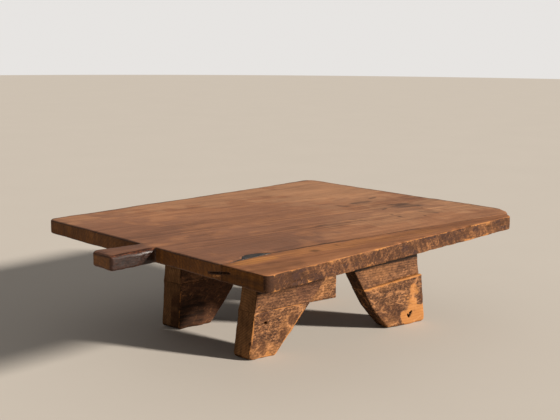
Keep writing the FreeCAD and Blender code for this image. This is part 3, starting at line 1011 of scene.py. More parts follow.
@dataclass(frozen=True)
class AgedWood:
    """Old oiled wood, dark where it is handled and dirty, orange where it is rubbed bare.

    tones run from dark to light on the faces, side_tones on the sides, end_tones on the end grain and
    handled_tones where hands hold it. pith is where the axis of the growth rings lies, seen from the piece's
    own frame, and turn is the grain's turn from X.
    """

    name: str
    tones: Tones
    side_tones: Tones
    end_tones: Tones
    grime: Colour
    # Colour of stains, also used for painted shade and painted shadows
    stain_and_shade: Colour
    warm: Colour
    rose: Colour
    scratch: Colour
    bare_tones: Tones = ((0.25, 0.095, 0.026), (0.345, 0.145, 0.043), (0.45, 0.21, 0.068))
    handled_tones: Tones = ((0.009, 0.0035, 0.0018), (0.028, 0.0090, 0.0040), (0.17, 0.043, 0.012))
    ring_width: float = 0.006
    warp: float = 0.02
    ring_share: float = 0.25
    streak_share: float = 0.5
    pith: Point3 = (0.0, 0.0, 0.0)
    turn: float = GRAIN_TURN
    bare_level: float = -0.35
    grime_level: float = 0.0
    face_grime: float = 0.3
    face_flecks: float = 0.1
    side_flecks: float = 0.6
    scratch_share: float = 0.35
    crack_share: float = 0.0
    face_scratch: float = 0.0
    check_share: float = 0.35
    roughness: tuple[float, float] = (0.45, 0.70)
    specular: float = 0.28
    coat: float = 0.05
    coat_roughness: float = 0.3
    relief: float = 0.0006

    def material(self, groups: dict[str, bpy.types.NodeTree]) -> bpy.types.Material:
        """Material of the wood.

        Args:
            groups: The shared node groups by name.

        Returns:
            A material whose layers, from below, are the figure of the wood, tints, grime, bare wood, the
            polish of hands, scratches, stains and painted shade, and pores.
        """
        material, graph, shader, place = new_material(self.name)
        mapped = graph.mapped(place, (0.0, 0.0, self.turn), self.pith)
        masks = {mark: graph.mark(mark) for mark in Mark}
        figure = graph.add("ShaderNodeGroup", {"node_tree": groups["wood_figure"]}, Vector=mapped,
                           Ring_Width=self.ring_width, Warp=self.warp, Ring_Share=self.ring_share,
                           Streak_Share=self.streak_share).outputs
        patina = graph.add("ShaderNodeGroup", {"node_tree": groups["patina"]}, Vector=mapped,
                           Edge=masks[Mark.EDGE], Bare=masks[Mark.BARE],
                           Bare_Level=self.bare_level, Grime_Level=self.grime_level).outputs
        tone, fibre, flecks = figure["Tone"], figure["Fibre"], patina["Flecks"]
        end, polish, gloss = masks[Mark.END], masks[Mark.POLISH], masks[Mark.GLOSS]
        rough = graph.most(masks[Mark.SIDE], masks[Mark.UNDER])
        unpolished = graph.rest(polish)
        off_end = graph.rest(graph.times(end, 0.8))

        # Figure on the faces, sides and ends
        face_tone = graph.between(tone, flecks, self.face_flecks)
        side_tone = graph.between(tone, graph.between(flecks, patina["Sawn"], 0.5), self.side_flecks)
        end_tone = graph.between(tone, graph.span(patina["Upright"], 0.25, 0.75), 0.4)
        colour = graph.mix(rough, graph.ramp(face_tone, self.tones), graph.ramp(side_tone, self.side_tones))
        colour = graph.mix(end, colour, graph.ramp(end_tone, self.end_tones))

        # Tints and grime
        warmed, rosy = (graph.times(masks[mark], graph.span(tone, -1.2, 0.5), clamp=True)
                        for mark in (Mark.WARM, Mark.ROSE))
        colour = graph.mix(warmed, colour, graph.ramp(face_tone, shades(self.warm)))
        colour = graph.mix(rosy, colour, graph.ramp(face_tone, shades(self.rose)))
        dirty = graph.times(patina["Grime"], graph.times(off_end, graph.most(rough, self.face_grime)))
        colour = graph.mix(dirty, colour, self.grime)

        # Wood rubbed bare, and the polish of hands
        bare = graph.times(patina["Bare"], unpolished)
        colour = graph.mix(bare, colour, graph.ramp(graph.between(tone, 0.55, 0.5), self.bare_tones))
        held = graph.between(masks[Mark.EDGE], flecks, 0.3)
        colour = graph.mix(polish, colour, graph.ramp(held, self.handled_tones))

        # Scratches and cracks, which the rosy dark patches hide
        scratched = graph.most(graph.times(rough, self.scratch_share), self.face_scratch)
        lines = graph.times(graph.times(patina["Scratches"], unpolished), graph.times(off_end, scratched))
        lines = graph.times(lines, graph.rest(graph.times(rosy, 0.5)))
        cracks = graph.times(patina["Cracks"], graph.rest(graph.span(rosy, 0.6, 0.95)))
        lines = graph.most(lines, graph.times(cracks, graph.times(off_end, self.crack_share)))
        colour = graph.mix(lines, colour, self.scratch)

        # Stains and painted shade, broken up by the grain where they are faint
        stain_and_shade = masks[Mark.STAIN_AND_SHADE]
        broken = graph.plus(0.3, graph.times(graph.span(figure["Lines"], 0.35, 0.65), 1.4))
        stain_and_shade_share = graph.most(graph.times(stain_and_shade, broken), graph.span(stain_and_shade, 0.6, 0.9), clamp=True)
        colour = graph.mix(stain_and_shade_share, colour, self.stain_and_shade)

        # Pores, pits and checks
        sunk = graph.most(graph.times(figure["Pores"], 0.35), graph.times(patina["Pits"], rough))
        sunk = graph.most(sunk, graph.times(figure["Checks"], self.check_share))
        sunk = graph.times(sunk, graph.rest(graph.times(bare, 0.7)))
        colour = graph.mix(graph.times(sunk, 0.6), colour, self.stain_and_shade)
        graph.feed(shader.inputs["Base Color"], colour)

        # Dull where it is sawn or bare, with a patchy gloss where hands hold it
        dull = graph.most(graph.most(rough, bare), graph.times(fibre, 0.5))
        patchy = graph.less(graph.times(flecks, 0.5), 0.8)
        dull = graph.plus(graph.times(dull, graph.rest(gloss)), graph.times(gloss, patchy))
        smooth, coarse = self.roughness
        graph.feed(shader.inputs["Roughness"], graph.plus(smooth, graph.times(dull, coarse - smooth)))
        graph.feed(shader.inputs["Coat Weight"], graph.times(gloss, self.coat))
        shader.inputs["Coat Roughness"].default_value = self.coat_roughness
        shader.inputs["Specular IOR Level"].default_value = self.specular

        # Relief of fibres, ridges, flecks, pores and scratches, worn down where hands hold it
        ridges = graph.less(0.4, graph.times(bare, 0.34))
        height = graph.plus(graph.times(fibre, 0.35), graph.times(tone, ridges))
        height = graph.plus(height, graph.times(flecks, graph.times(rough, 0.6)))
        height = graph.less(height, graph.times(sunk, 0.9))
        height = graph.less(height, graph.times(lines, 0.8))
        height = graph.times(height, graph.most(unpolished, 0.2))
        height = graph.plus(height, graph.times(flecks, graph.times(polish, 0.25)))
        graph.relief(shader, height, self.relief)
        return material


DARK_SIDES = ((0.026, 0.0105, 0.0050), (0.066, 0.026, 0.0105), (0.150, 0.062, 0.024))
LEG_SIDES = ((0.018, 0.0068, 0.0020), (0.040, 0.0155, 0.0044), (0.09, 0.037, 0.0120))
BOARD_ENDS = ((0.055, 0.0180, 0.0018), (0.118, 0.0390, 0.0042), (0.25, 0.090, 0.0120))
LEG_ENDS = ((0.076, 0.034, 0.0130), (0.195, 0.092, 0.0360), (0.35, 0.175, 0.073))
TOP_WOOD = AgedWood(
    name="top_wood",
    tones=((0.150, 0.059, 0.026), (0.315, 0.133, 0.058), (0.48, 0.220, 0.100)),
    side_tones=DARK_SIDES,
    end_tones=BOARD_ENDS,
    grime=(0.045, 0.018, 0.010),
    stain_and_shade=(0.016, 0.009, 0.007),
    warm=(0.43, 0.215, 0.105),
    rose=(0.188, 0.079, 0.042),
    scratch=(0.27, 0.115, 0.045),
    pith=(0.0, 0.06, -0.12),
    ring_width=0.007,
    streak_share=0.8,
    face_grime=0.10,
    face_flecks=0.06,
    bare_level=-0.42,
    specular=0.22,
)
FRONT_WOOD = AgedWood(
    name="front_board_wood",
    tones=((0.185, 0.072, 0.031), (0.295, 0.120, 0.050), (0.41, 0.177, 0.076)),
    side_tones=((0.024, 0.0100, 0.0058), (0.078, 0.032, 0.014), (0.25, 0.108, 0.042)),
    end_tones=((0.070, 0.0245, 0.0034), (0.150, 0.0530, 0.0075), (0.31, 0.117, 0.0190)),
    grime=(0.038, 0.017, 0.012),
    stain_and_shade=(0.014, 0.008, 0.006),
    warm=(0.45, 0.185, 0.055),
    rose=(0.046, 0.0185, 0.0080),
    scratch=(0.36, 0.155, 0.058),
    pith=(0.0, 0.34, -0.10),
    ring_width=0.0055,
    streak_share=0.9,
    grime_level=-0.01,
    bare_level=-0.27,
    face_grime=0.10,
    face_flecks=0.06,
    side_flecks=0.7,
    scratch_share=0.5,
    specular=0.09,
)
RAIL_WOOD = AgedWood(
    name="rail_wood",
    tones=((0.034, 0.0145, 0.0075), (0.126, 0.055, 0.024), (0.33, 0.152, 0.068)),
    side_tones=LEG_SIDES,
    end_tones=LEG_ENDS,
    grime=(0.035, 0.015, 0.009),
    stain_and_shade=(0.010, 0.006, 0.004),
    warm=(0.29, 0.125, 0.045),
    rose=(0.068, 0.027, 0.016),
    scratch=(0.36, 0.165, 0.068),
    pith=(0.0, 0.10, -0.05),
    ring_width=0.005,
    ring_share=0.4,
    streak_share=0.75,
    bare_level=-0.42,
    face_grime=0.35,
    face_flecks=0.45,
    side_flecks=0.4,
    crack_share=0.15,
    face_scratch=0.22,
    relief=0.0012,
    roughness=(0.62, 0.80),
    specular=0.10,
)
FOOT_WOOD = replace(
    RAIL_WOOD,
    name="foot_wood",
    tones=((0.028, 0.0120, 0.0064), (0.105, 0.0455, 0.0192), (0.33, 0.153, 0.067)),
    grime=(0.034, 0.0145, 0.0085),
    stain_and_shade=(0.0165, 0.0058, 0.0019),
    warm=(0.34, 0.147, 0.049),
    rose=(0.062, 0.024, 0.0105),
    scratch=(0.42, 0.19, 0.075),
    pith=(0.3, 0.02, -0.16),
    ring_width=0.0045,
    ring_share=0.45,
    bare_level=-0.36,
    face_flecks=0.62,
    side_flecks=0.3,
    crack_share=0.58,
    face_scratch=0.55,
    relief=0.0014,
)


@dataclass(frozen=True)
class SlateFiller:
    """Dark slate-coloured filler, cracked and rubbed smooth."""

    name: str = "joint_filler"
    colours: Tones = ((0.008, 0.007, 0.006), (0.026, 0.021, 0.018), (0.11, 0.065, 0.038))
    roughness: float = 0.5
    relief: float = 0.0008

    def material(self) -> bpy.types.Material:
        """Mottled dark material with fine cracks.

        Returns:
            The material.
        """
        material, graph, shader, place = new_material(self.name)
        mottle = graph.span(graph.noise(place, (45.0, 230.0, 230.0), detail=4.0, rough=0.65), 0.3, 0.75)
        crack = graph.cracks(graph.vector("MULTIPLY", place, (90.0, 170.0, 170.0)), 0.06)
        colour = graph.mix(crack, graph.ramp(mottle, self.colours), self.colours[0])
        graph.feed(shader.inputs["Base Color"], colour)
        shader.inputs["Roughness"].default_value = self.roughness
        graph.relief(shader, graph.less(mottle, crack), self.relief)
        return material


# Sub-assemblies


WIDE_SIDES = {
    "end behind the handle": Side(0.014, 1.2, 2.6, 2.5, 0.35, 0.4),
    "back of the handle": Side(0.003, 0.6, 3.0, 3.5, 0.3, facet=0.3),
    "tip of the handle": Side(0.009, 0.7, 8.0, 9.0, 0.75, 0.3, facet=0.4),
    "front of the handle": Side(0.008, 0.6, 9.5, 5.0, 0.8, 0.4, facet=0.3),
    "end before the handle": Side(0.003, 1.2, 2.6, 2.5, 0.3),
    "joint": Side(0.0007, 0.0, 1.6, 0.6, 0.0, facet=0.2, jointed=True),
    "joint beyond the bend": Side(0.03, 0.0, 1.5, 0.6, 0.0, facet=0.2, jointed=True),
    "clipped corner": Side(0.004, 1.2, 3.5, 2.5, 0.7, 0.5),
    "far end": Side(0.030, 1.2, 3.0, 2.5, 0.5, 0.5),
    "back": Side(0.026, 1.2, 2.8, 2.5, 0.5, 0.5),
}
FRONT_SIDES = {
    "front": Side(0.012, 1.0, 2.0, 2.0, 0.86),
    "clipped corner": Side(0.016, 1.0, 3.0, 2.5, 0.8, 0.6),
    "joint beyond the bend": Side(0.006, 0.0, 1.5, 0.6, 0.0, 0.3, jointed=True),
    "joint": Side(0.03, 0.0, 1.6, 0.6, 0.0, jointed=True),
    "handle end": Side(0.0007, 1.0, 2.2, 2.2, 0.3),
}
WIDE_SPOTS = patches(
    (0.229, 0.004, 0.029, 0.007, -13.0, 0.5), (0.166, -0.002, 0.022, 0.006, -71.0, 0.4),
    (0.297, 0.024, 0.022, 0.006, 17.0, 0.5), (0.249, -0.179, 0.025, 0.006, -74.0, 0.45),
    (0.161, -0.164, 0.014, 0.005, -93.0, 0.5), (0.066, -0.129, 0.026, 0.004, -67.0, 0.3),
    (0.209, -0.084, 0.005, 0.005, 0.0, 0.75), (0.164, -0.136, 0.004, 0.004, 0.0, 0.7),
    (0.159, -0.161, 0.004, 0.004, 0.0, 0.6), (0.208, -0.192, 0.004, 0.004, 0.0, 0.6),
    (0.277, -0.134, 0.004, 0.004, 0.0, 0.5),
)
WIDE_FACE = {
    Mark.BARE: patches((0.39, -0.25, 0.03, 0.05, 0.0, 0.25)),
    Mark.STAIN_AND_SHADE: WIDE_SPOTS + patches(
        (0.272, -0.086, 0.030, 0.042, 20.0, 0.45), (0.269, -0.092, 0.006, 0.036, 10.0, 0.5),
        (0.284, -0.086, 0.003, 0.034, 10.0, 0.5), (0.262, -0.155, 0.010, 0.045, 8.0, 0.25),
        (-0.038, -0.110, 0.020, 0.004, -8.0, 0.5), (0.206, -0.084, 0.012, 0.004, -8.0, 0.6),
        (-0.23, -0.200, 0.04, 0.008, -6.0, 0.2),
    ),
    # Lighter, warmer wood; the three patches toward the back (y from 0.17 to 0.28) also lighten the top
    # towards its far side as a painted sheen
    Mark.WARM: patches(
        (0.30, 0.17, 0.20, 0.20, -9.0, 0.7), (-0.36, 0.28, 0.09, 0.08, -9.0, 0.35),
        (0.05, 0.27, 0.34, 0.07, -9.0, 0.5), (0.34, -0.16, 0.10, 0.10, -9.0, 0.7),
        (0.16, -0.12, 0.16, 0.09, -9.0, 0.5), (-0.20, -0.17, 0.16, 0.030, -9.0, 0.25),
    ),
    Mark.ROSE: patches(
        (-0.34, 0.12, 0.12, 0.16, 0.0, 0.6), (-0.30, -0.11, 0.18, 0.12, -9.0, 0.65),
        (-0.27, -0.165, 0.16, 0.05, -9.0, 0.8), (0.00, -0.07, 0.30, 0.04, -9.0, 0.5),
        (-0.05, 0.08, 0.30, 0.07, -9.0, 0.35),
    ),
}
WIDE_END = patches((-0.204, 0.2185, 0.016, 0.0026, -10.0, 0.85))
FRONT_FACE = {
    Mark.STAIN_AND_SHADE: patches(
        (-0.149, -0.251, 0.005, 0.005, 0.0, 0.9), (-0.211, -0.257, 0.012, 0.008, 0.0, 0.35),
        (-0.213, -0.219, 0.012, 0.006, 0.0, 0.8),
    ),
    Mark.WARM: patches(
        (-0.345, -0.236, 0.05, 0.016, -3.0), (-0.12, -0.262, 0.20, 0.022, -9.0, 0.35),
    ),
    Mark.ROSE: patches(
        (-0.34, -0.284, 0.07, 0.024, -6.0, 0.3), (0.02, -0.285, 0.20, 0.02, -6.0, 0.12),
    ),
}
FRONT_EDGE = {
    Mark.BARE: patches(
        (-0.283, 0.225, 0.018, 0.013, 0.0, 0.45), (-0.243, 0.226, 0.016, 0.013, 0.0, 0.45),
        (-0.300, 0.222, 0.006, 0.016, 20.0, 0.5), (-0.16, 0.219, 0.05, 0.006, 0.0, 0.35),
        (0.20, 0.218, 0.06, 0.008, 0.0, 0.4), (0.26, 0.226, 0.03, 0.012, 0.0, 0.35),
        (-0.3815, 0.226, 0.003, 0.02, 0.0, 0.45),
    ),
    Mark.WARM: patches((0.24, 0.224, 0.09, 0.03, 0.0, 0.10)),
    Mark.ROSE: patches(
        (-0.35, 0.226, 0.05, 0.03, 0.0, 0.8), (-0.15, 0.228, 0.05, 0.010, 0.0, 0.4),
        (-0.02, 0.228, 0.05, 0.010, 0.0, 0.45), (0.12, 0.229, 0.05, 0.010, 0.0, 0.4),
        (0.29, 0.230, 0.04, 0.010, 0.0, 0.3),
    ),
}


@dataclass(frozen=True)
class Chip:
    """Chip in the front edge: its place along it, its level, half its length, its radius and its depth."""

    along: float
    level: float
    half: float
    radius: float
    depth: float

    def dent(self, middle: float, edge: float) -> Dent:
        """The chip as a mark in the table's frame, just inside the edge."""
        ends = ((middle + self.along + way * self.half, edge + MILLIMETRE, self.level) for way in (-1, 1))
        return Dent(*ends, self.radius, self.depth)


@dataclass
class TableTop:
    """Wide board with its handle, tapered front board and the filler beside their joint."""

    groups: dict[str, bpy.types.NodeTree]
    length: float = 0.800
    width: float = 0.649
    corner_clip: float = 0.062
    clip_shares: tuple[float, ...] = (0.0, 0.15, 0.5, 1.0)
    clip_bulges: tuple[float, ...] = (-0.003, 0.002, 0.004, 0.001)
    handle_length: float = 0.099
    handle_root: tuple[float, float] = (0.007, -0.038)
    handle_tip: tuple[float, float] = (0.0215, -0.039)
    handle_rub: tuple[float, ...] = (0.6, 1.2, 1.0)
    handle_bumps: float = 0.0005
    joint_end: float = -0.2155
    joint_bend: Point2 = (-0.276, -0.2125)
    joint_tip: Point2 = (0.358, -0.3045)
    joint_line: float = 0.0008
    seam: float = 0.00005
    filler_ends: tuple[float, float] = (0.14, 0.97)
    filler_rise: float = 0.021
    filler_shares: tuple[float, ...] = (0.0, 0.16, 0.365, 0.48, 0.56, 0.68, 0.81, 0.94, 1.0)
    filler_lifts: tuple[float, ...] = (0.0, 0.13, 0.32, 0.86, 1.0, 0.98, 0.80, 0.36, 0.0)
    filler_depth: float = 0.008
    filler_drop: float = 0.0003
    filler_gap: float = 0.0002
    filler_rims: tuple[float, ...] = (0.0014, 0.0008, 0.0003, -0.0003, -0.0008)
    slit_start: Point2 = (-0.186, 0.2208)
    slit_end: Point2 = (-0.235, 0.2288)
    slit_radius: float = 0.0018
    slit_depth: float = 0.006
    chips: tuple[Chip, ...] = (
        Chip(-0.2585, 0.2348, 0.005, 0.0045, 0.0022),
        Chip(-0.2195, 0.2285, 0.004, 0.004, 0.0018),
        Chip(0.137, 0.2395, 0.004, 0.005, 0.003),
        Chip(0.173, 0.2395, 0.006, 0.005, 0.003),
        Chip(-0.05, 0.2405, 0.006, 0.004, 0.002),
        Chip(0.245, 0.2295, 0.006, 0.004, 0.002),
        Chip(0.30, 0.224, 0.004, 0.005, 0.002),
        Chip(-0.33, 0.218, 0.008, 0.004, 0.0016),
    )
    wide_cut: Cut = Cut(step=0.0026, side_step=0.0013, face_step=0.0065, back_step=0.012, wave=0.16,
                        wave_seed=5, rub=0.35, rub_size=0.045, rub_seed=8, corner_reach=0.006)
    front_cut: Cut = Cut(step=0.00221, side_step=0.0013, face_step=0.0055, back_step=0.010, wave=0.12,
                         wave_seed=6, rub=0.45, rub_size=0.03, rub_seed=12, corner_reach=0.005)
    spot_step: float = 0.0025
    middle: float = field(init=False)
    top: float = field(init=False)
    thickness: float = field(init=False)

    def __post_init__(self) -> None:
        """Read the top's place from the solids."""
        low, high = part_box("wide_board")
        self.middle = high.x - self.length / 2
        self.top = high.z
        self.thickness = high.z - low.z

    @property
    def joint(self) -> list[Point2]:
        """Corners of the joint, from the handle end."""
        return [(-self.length / 2, self.joint_end), self.joint_bend, self.joint_tip]

    @property
    def slit(self) -> Dent:
        """Slit that crosses the joint in the handle end of the top."""
        end = self.middle - self.length / 2
        return Dent((end, *self.slit_start), (end, *self.slit_end), self.slit_radius, self.slit_depth)

    def place(self, shell: Shell, drop: float = 0.0) -> None:
        """Move a shell from its plan and depth into the table's frame."""
        plan, depth = shell.places[:, :2], shell.places[:, 2]
        shell.places = np.column_stack([plan[:, 0] + self.middle, plan[:, 1], self.top - drop - depth])

    def filler_bow(self, low: float, high: float, count: int, grow: float = 0.0,
                   rise: float = 1.0) -> np.ndarray:
        """Upper edge of the filler.

        Args:
            low: Share of the filler's length where the points start.
            high: Share where they end.
            count: Number of points.
            grow: Distance to move the points outward.
            rise: Share of the full rise, which is 0 for the chord on the joint.

        Returns:
            Points of the chord, each lifted across it by the table of rises.
        """
        start, end = (np.array(self.joint[0]) * (1 - share) + np.array(self.joint[1]) * share
                      for share in self.filler_ends)
        chord = end - start
        left = np.array([-chord[1], chord[0]]) / np.linalg.norm(chord)
        share = np.linspace(low, high, count)
        lift = rise * self.filler_rise * np.interp(share, self.filler_shares, self.filler_lifts)
        return start + share[:, None] * chord + (lift + grow)[:, None] * left

    def in_filler(self, plan: np.ndarray) -> np.ndarray:
        """Whether plan places lie over the filler.

        Args:
            plan: The places.

        Returns:
            True for those below the bow and between its ends.
        """
        bow = self.filler_bow(0.0, 1.0, 60)
        along = (plan[:, 0] >= bow[0, 0]) & (plan[:, 0] <= bow[-1, 0])
        return along & (plan[:, 1] <= np.interp(plan[:, 0], bow[:, 0], bow[:, 1]))

    def near_joint(self, plan: np.ndarray) -> np.ndarray:
        """Closeness of plan places to the joint or the filler's edge.

        Args:
            plan: The places.

        Returns:
            1 on the lines, fading with the distance. The joint is fainter at the far end.
        """
        line = np.array(self.joint)
        away = abs(plan[:, 1] - np.interp(plan[:, 0], line[:, 0], line[:, 1]))
        bow = self.filler_bow(0.0, 1.0, 60)
        rim = np.linalg.norm(plan[:, None] - bow[None], axis=2).min(axis=1)
        faint = 1.0 - 0.75 * ease(plan[:, 0], 0.15, 0.33)
        beside = np.maximum(away - self.joint_line, 0.0)
        return np.maximum(np.exp(-beside / self.joint_line) * faint, np.exp(-rim / self.joint_line))

    def on_handle(self, plan: np.ndarray) -> np.ndarray:
        """Whether plan places lie on the handle, as a share that fades out at its root."""
        return ease(-plan[:, 0], self.length / 2 - 0.008, self.length / 2 + 0.010)

    def build_wide_board(self) -> None:
        """Wide board: its outline with the handle, swept, with the filler's recess and worn marks."""
        half, edge = self.length / 2, self.width / 2
        tip = -half - self.handle_length
        corners = [
            (-half, edge), (-half, self.handle_root[0]), (tip, self.handle_tip[0]), (tip, self.handle_tip[1]),
            (-half, self.handle_root[1]), *self.joint, (half, self.corner_clip - edge), (half, edge),
        ]
        names, sides = list(WIDE_SIDES), list(WIDE_SIDES.values())
        outline = self.wide_cut.outline(corners, sides, self.seam)
        clip = names.index("clipped corner")
        on_clip = (outline.before == clip) & (outline.after == clip)
        outline = outline.pushed(on_clip * np.interp(outline.travel, self.clip_shares, self.clip_bulges))
        rub = np.interp(outline.points[:, 0], (tip, -half, -half + MILLIMETRE), self.handle_rub)
        over = self.in_filler(outline.points + (0.0, 0.0005)) & (outline.before == names.index("joint"))
        rims = [self.filler_bow(0.04, 0.97, 56, grow) for grow in self.filler_rims]
        spots = [patch.grid(self.spot_step) for patch in WIDE_SPOTS]
        shell = self.wide_cut.shell(outline, sides, self.thickness, rub,
                                    sunk=over * self.filler_depth, extra=np.vstack([*rims, *spots]))
        flush = shell.places[:, 2] < FLUSH
        shell.places[self.in_filler(shell.places[:, :2]) & (shell.face == 0) & flush, 2] = self.filler_depth
        plan = shell.places[:, :2].copy()
        self.place(shell)
        shell.wear(0.0006, 0.00045, 21, (self.slit,))
        bumps = self.handle_bumps * self.on_handle(plan) * fractal(shell.places, 0.012, 33)
        shell.places += shell.normals() * bumps[:, None]
        self.mark_wide_board(shell, plan)
        settle(shell.to_object("worn_wide_board"), "wide_board",
               TOP_WOOD.material(self.groups))

    def mark_wide_board(self, shell: Shell, plan: np.ndarray) -> None:
        """Give the wide board its masks.

        Args:
            shell: The board's shell, in the table's frame.
            plan: Its points in the plan of the top.
        """
        half, edge = self.length / 2, self.width / 2
        faces, normals = shell.face == 0, shell.normals()
        slit = self.slit.pressed(shell.places)
        from_tip = plan[:, 0] + half + self.handle_length
        handle = self.on_handle(plan)
        on_end = ease(abs(normals[:, 0]), 0.75, 0.95)
        end_view = np.column_stack([plan[:, 1], shell.places[:, 2]])
        tip_glow = np.where(plan[:, 0] < -half - 0.05, 0.2, 0.09 * ease(plan[:, 1], 0.03, 0.10))
        held = handle * np.where(faces & (shell.edge < 0.2), 0.22, 1.0) * (1.0 - on_end)
        held *= 1.0 - 0.8 * ease(-from_tip, -0.012, -0.004) * ease(normals[:, 1], -0.6, -0.1)
        far_rim = np.maximum(ease(plan[:, 0], half - 0.014, half - 0.004),
                             ease(plan[:, 1], edge - 0.012, edge - 0.004))
        # Dark line along the joint and round the filler, grime with painted shade in the joint's groove, and
        # a fainter dark far rim
        dark_lines = np.maximum(0.9 * self.near_joint(plan), 0.5 * far_rim)
        dark_handle = 0.9 * handle * (1.0 - on_end) * np.where(shell.face == 1, 0.1, 1.0)
        shell.marks = {
            Mark.BARE: faces * cover(plan, WIDE_FACE[Mark.BARE]) + on_end * cover(end_view, WIDE_END),
            Mark.STAIN_AND_SHADE: np.maximum(
                faces * np.maximum(cover(plan, WIDE_FACE[Mark.STAIN_AND_SHADE]), dark_lines), slit),
            Mark.WARM: faces * cover(plan, WIDE_FACE[Mark.WARM], 0.5) + on_end * tip_glow,
            Mark.ROSE: np.maximum(faces * cover(plan, WIDE_FACE[Mark.ROSE], 0.5), dark_handle),
            Mark.POLISH: held,
            Mark.GLOSS: held * (0.2 + 0.7 * ease(from_tip, 0.035, 0.08)),
        }
        shell.edge = shell.edge * (1.0 - 0.9 * slit)

    def build_front_board(self) -> None:
        """Front board: its tapered outline, swept, with chips along its worn front edge."""
        half, edge = self.length / 2, self.width / 2
        corners = [(-half, -edge), (half - self.corner_clip, -edge), *reversed(self.joint)]
        sides = list(FRONT_SIDES.values())
        outline = self.front_cut.outline(corners, sides, self.seam)
        shell = self.front_cut.shell(outline, sides, self.thickness, back_edge=0.95)
        plan = shell.places[:, :2].copy()
        self.place(shell)
        chips = (chip.dent(self.middle, -edge) for chip in self.chips)
        shell.wear(0.0005, 0.00055, 44, (*chips, self.slit))
        self.mark_front_board(shell, plan)
        settle(shell.to_object("worn_front_board"), "front_board",
               FRONT_WOOD.material(self.groups))

    def mark_front_board(self, shell: Shell, plan: np.ndarray) -> None:
        """Give the front board its masks.

        Args:
            shell: The board's shell, in the table's frame.
            plan: Its points in the plan of the top.
        """
        half, edge = self.length / 2, self.width / 2
        faces, sides = shell.face == 0, shell.face == 1
        edge_view = np.column_stack([plan[:, 0], shell.places[:, 2]])
        from_corner = np.hypot(plan[:, 0] + half, plan[:, 1] + edge)
        to_front = ease(-shell.normals()[:, 1], 0.25, 0.55)
        dark_corner = sides * (1.0 - ease(from_corner, 0.014, 0.018)) * to_front
        on_front = sides * (plan[:, 1] < -edge + 0.03)
        shell.marks = {
            Mark.BARE: on_front * cover(edge_view, FRONT_EDGE[Mark.BARE]),
            Mark.STAIN_AND_SHADE: np.maximum.reduce([
                faces * cover(plan, FRONT_FACE[Mark.STAIN_AND_SHADE]),
                # Joint line: grime with painted shade in the joint's groove
                faces * 0.9 * self.near_joint(plan),
                self.slit.pressed(shell.places),
                0.3 * dark_corner,
            ]),
            Mark.WARM: (faces * cover(plan, FRONT_FACE[Mark.WARM], 0.4)
                        + sides * cover(edge_view, FRONT_EDGE[Mark.WARM])),
            Mark.ROSE: np.maximum.reduce([
                faces * cover(plan, FRONT_FACE[Mark.ROSE], 0.4),
                sides * cover(edge_view, FRONT_EDGE[Mark.ROSE], 0.6),
                dark_corner,
            ]),
        }

    def build_filler(self) -> None:
        """Filler: the bow's outline, swept to the recess's depth, a little below the top."""
        bow = self.filler_bow(0.03, 0.99, 40, -self.filler_gap)
        chord = self.filler_bow(0.03, 0.99, 2, -self.filler_gap, 0.0)
        corners = [tuple(point) for point in (*chord, *bow[::-1])]
        outline = rounded_outline(corners, [0.00015] * len(corners), 0.0012)
        arris = np.full(len(outline.points), 0.0001)
        depth = self.filler_depth - self.filler_drop - self.filler_gap
        shell = Block(outline, depth, arris, arris, face_step=0.0022, back_step=0.004, side_step=0.002,
                      corner_edge=0 * arris, edge_gain=0 * arris).shell()
        self.place(shell, self.filler_drop)
        shell.places[:, 2] += (shell.face == 0) * 0.0003 * fractal(shell.places, 0.008, 61)
        settle(shell.to_object("slate_filler"), "joint_filler",
               SlateFiller().material())

    def build(self) -> None:
        """Build both boards and the filler."""
        self.build_wide_board()
        self.build_front_board()
        self.build_filler()


HOLE_RINGS = (0.0008, 0.0016, 0.0024, 0.0034)
STROKE_STEP = 0.0012
RAIL_FACE = {
    Mark.BARE: patches(
        (-0.13, 0.13, 0.05, 0.03, 0.0, 0.1), (0.06, 0.13, 0.03, 0.03, 0.0, 0.3),
    ),
    Mark.WARM: patches((0.11, 0.14, 0.06, 0.03, 0.0, 0.3)),
    Mark.ROSE: patches(
        (0.18, 0.17, 0.06, 0.03, 0.0, 0.15), (-0.045, 0.118, 0.06, 0.025, -9.0, 0.5),
        (-0.05, 0.18, 0.06, 0.03, 0.0, 0.4),
    ),
}


def upright_side(radius: float, sawing: float, arris: float, edge_wear: float, corner_wear: float = 0.0,
                 skewed: bool = False) -> Side:
    """Side of an upright piece, with the same arris on both faces."""
    return Side(radius, sawing, arris, arris, edge_wear, corner_wear, skewed=skewed)


@dataclass(frozen=True)
class FootSizes:
    """One foot: its reaches along the rail from the middle of the base, and the marks on its side view.

    bare, strokes, kept, stain, rose and warm are patches where the wood is rubbed bare, scratched, still
    dark inside a bare patch, darkened as a painted shadow, and tinted. holes lie in the plane of the side
    view, so the third number of their places is 0.
    """

    node: str
    end: End
    toe: float
    heel: float
    shoulder: float
    rake: float
    belly: float
    step: float = 0.0
    joint_drop: float = 0.0
    seam_arris: float = 0.8
    toe_radius: float = 0.011
    bare: Patches = ()
    strokes: Patches = ()
    kept: Patches = ()
    stain_and_shade: Patches = ()
    rose: Patches = ()
    warm: Patches = ()
    holes: tuple[Dent, ...] = ()


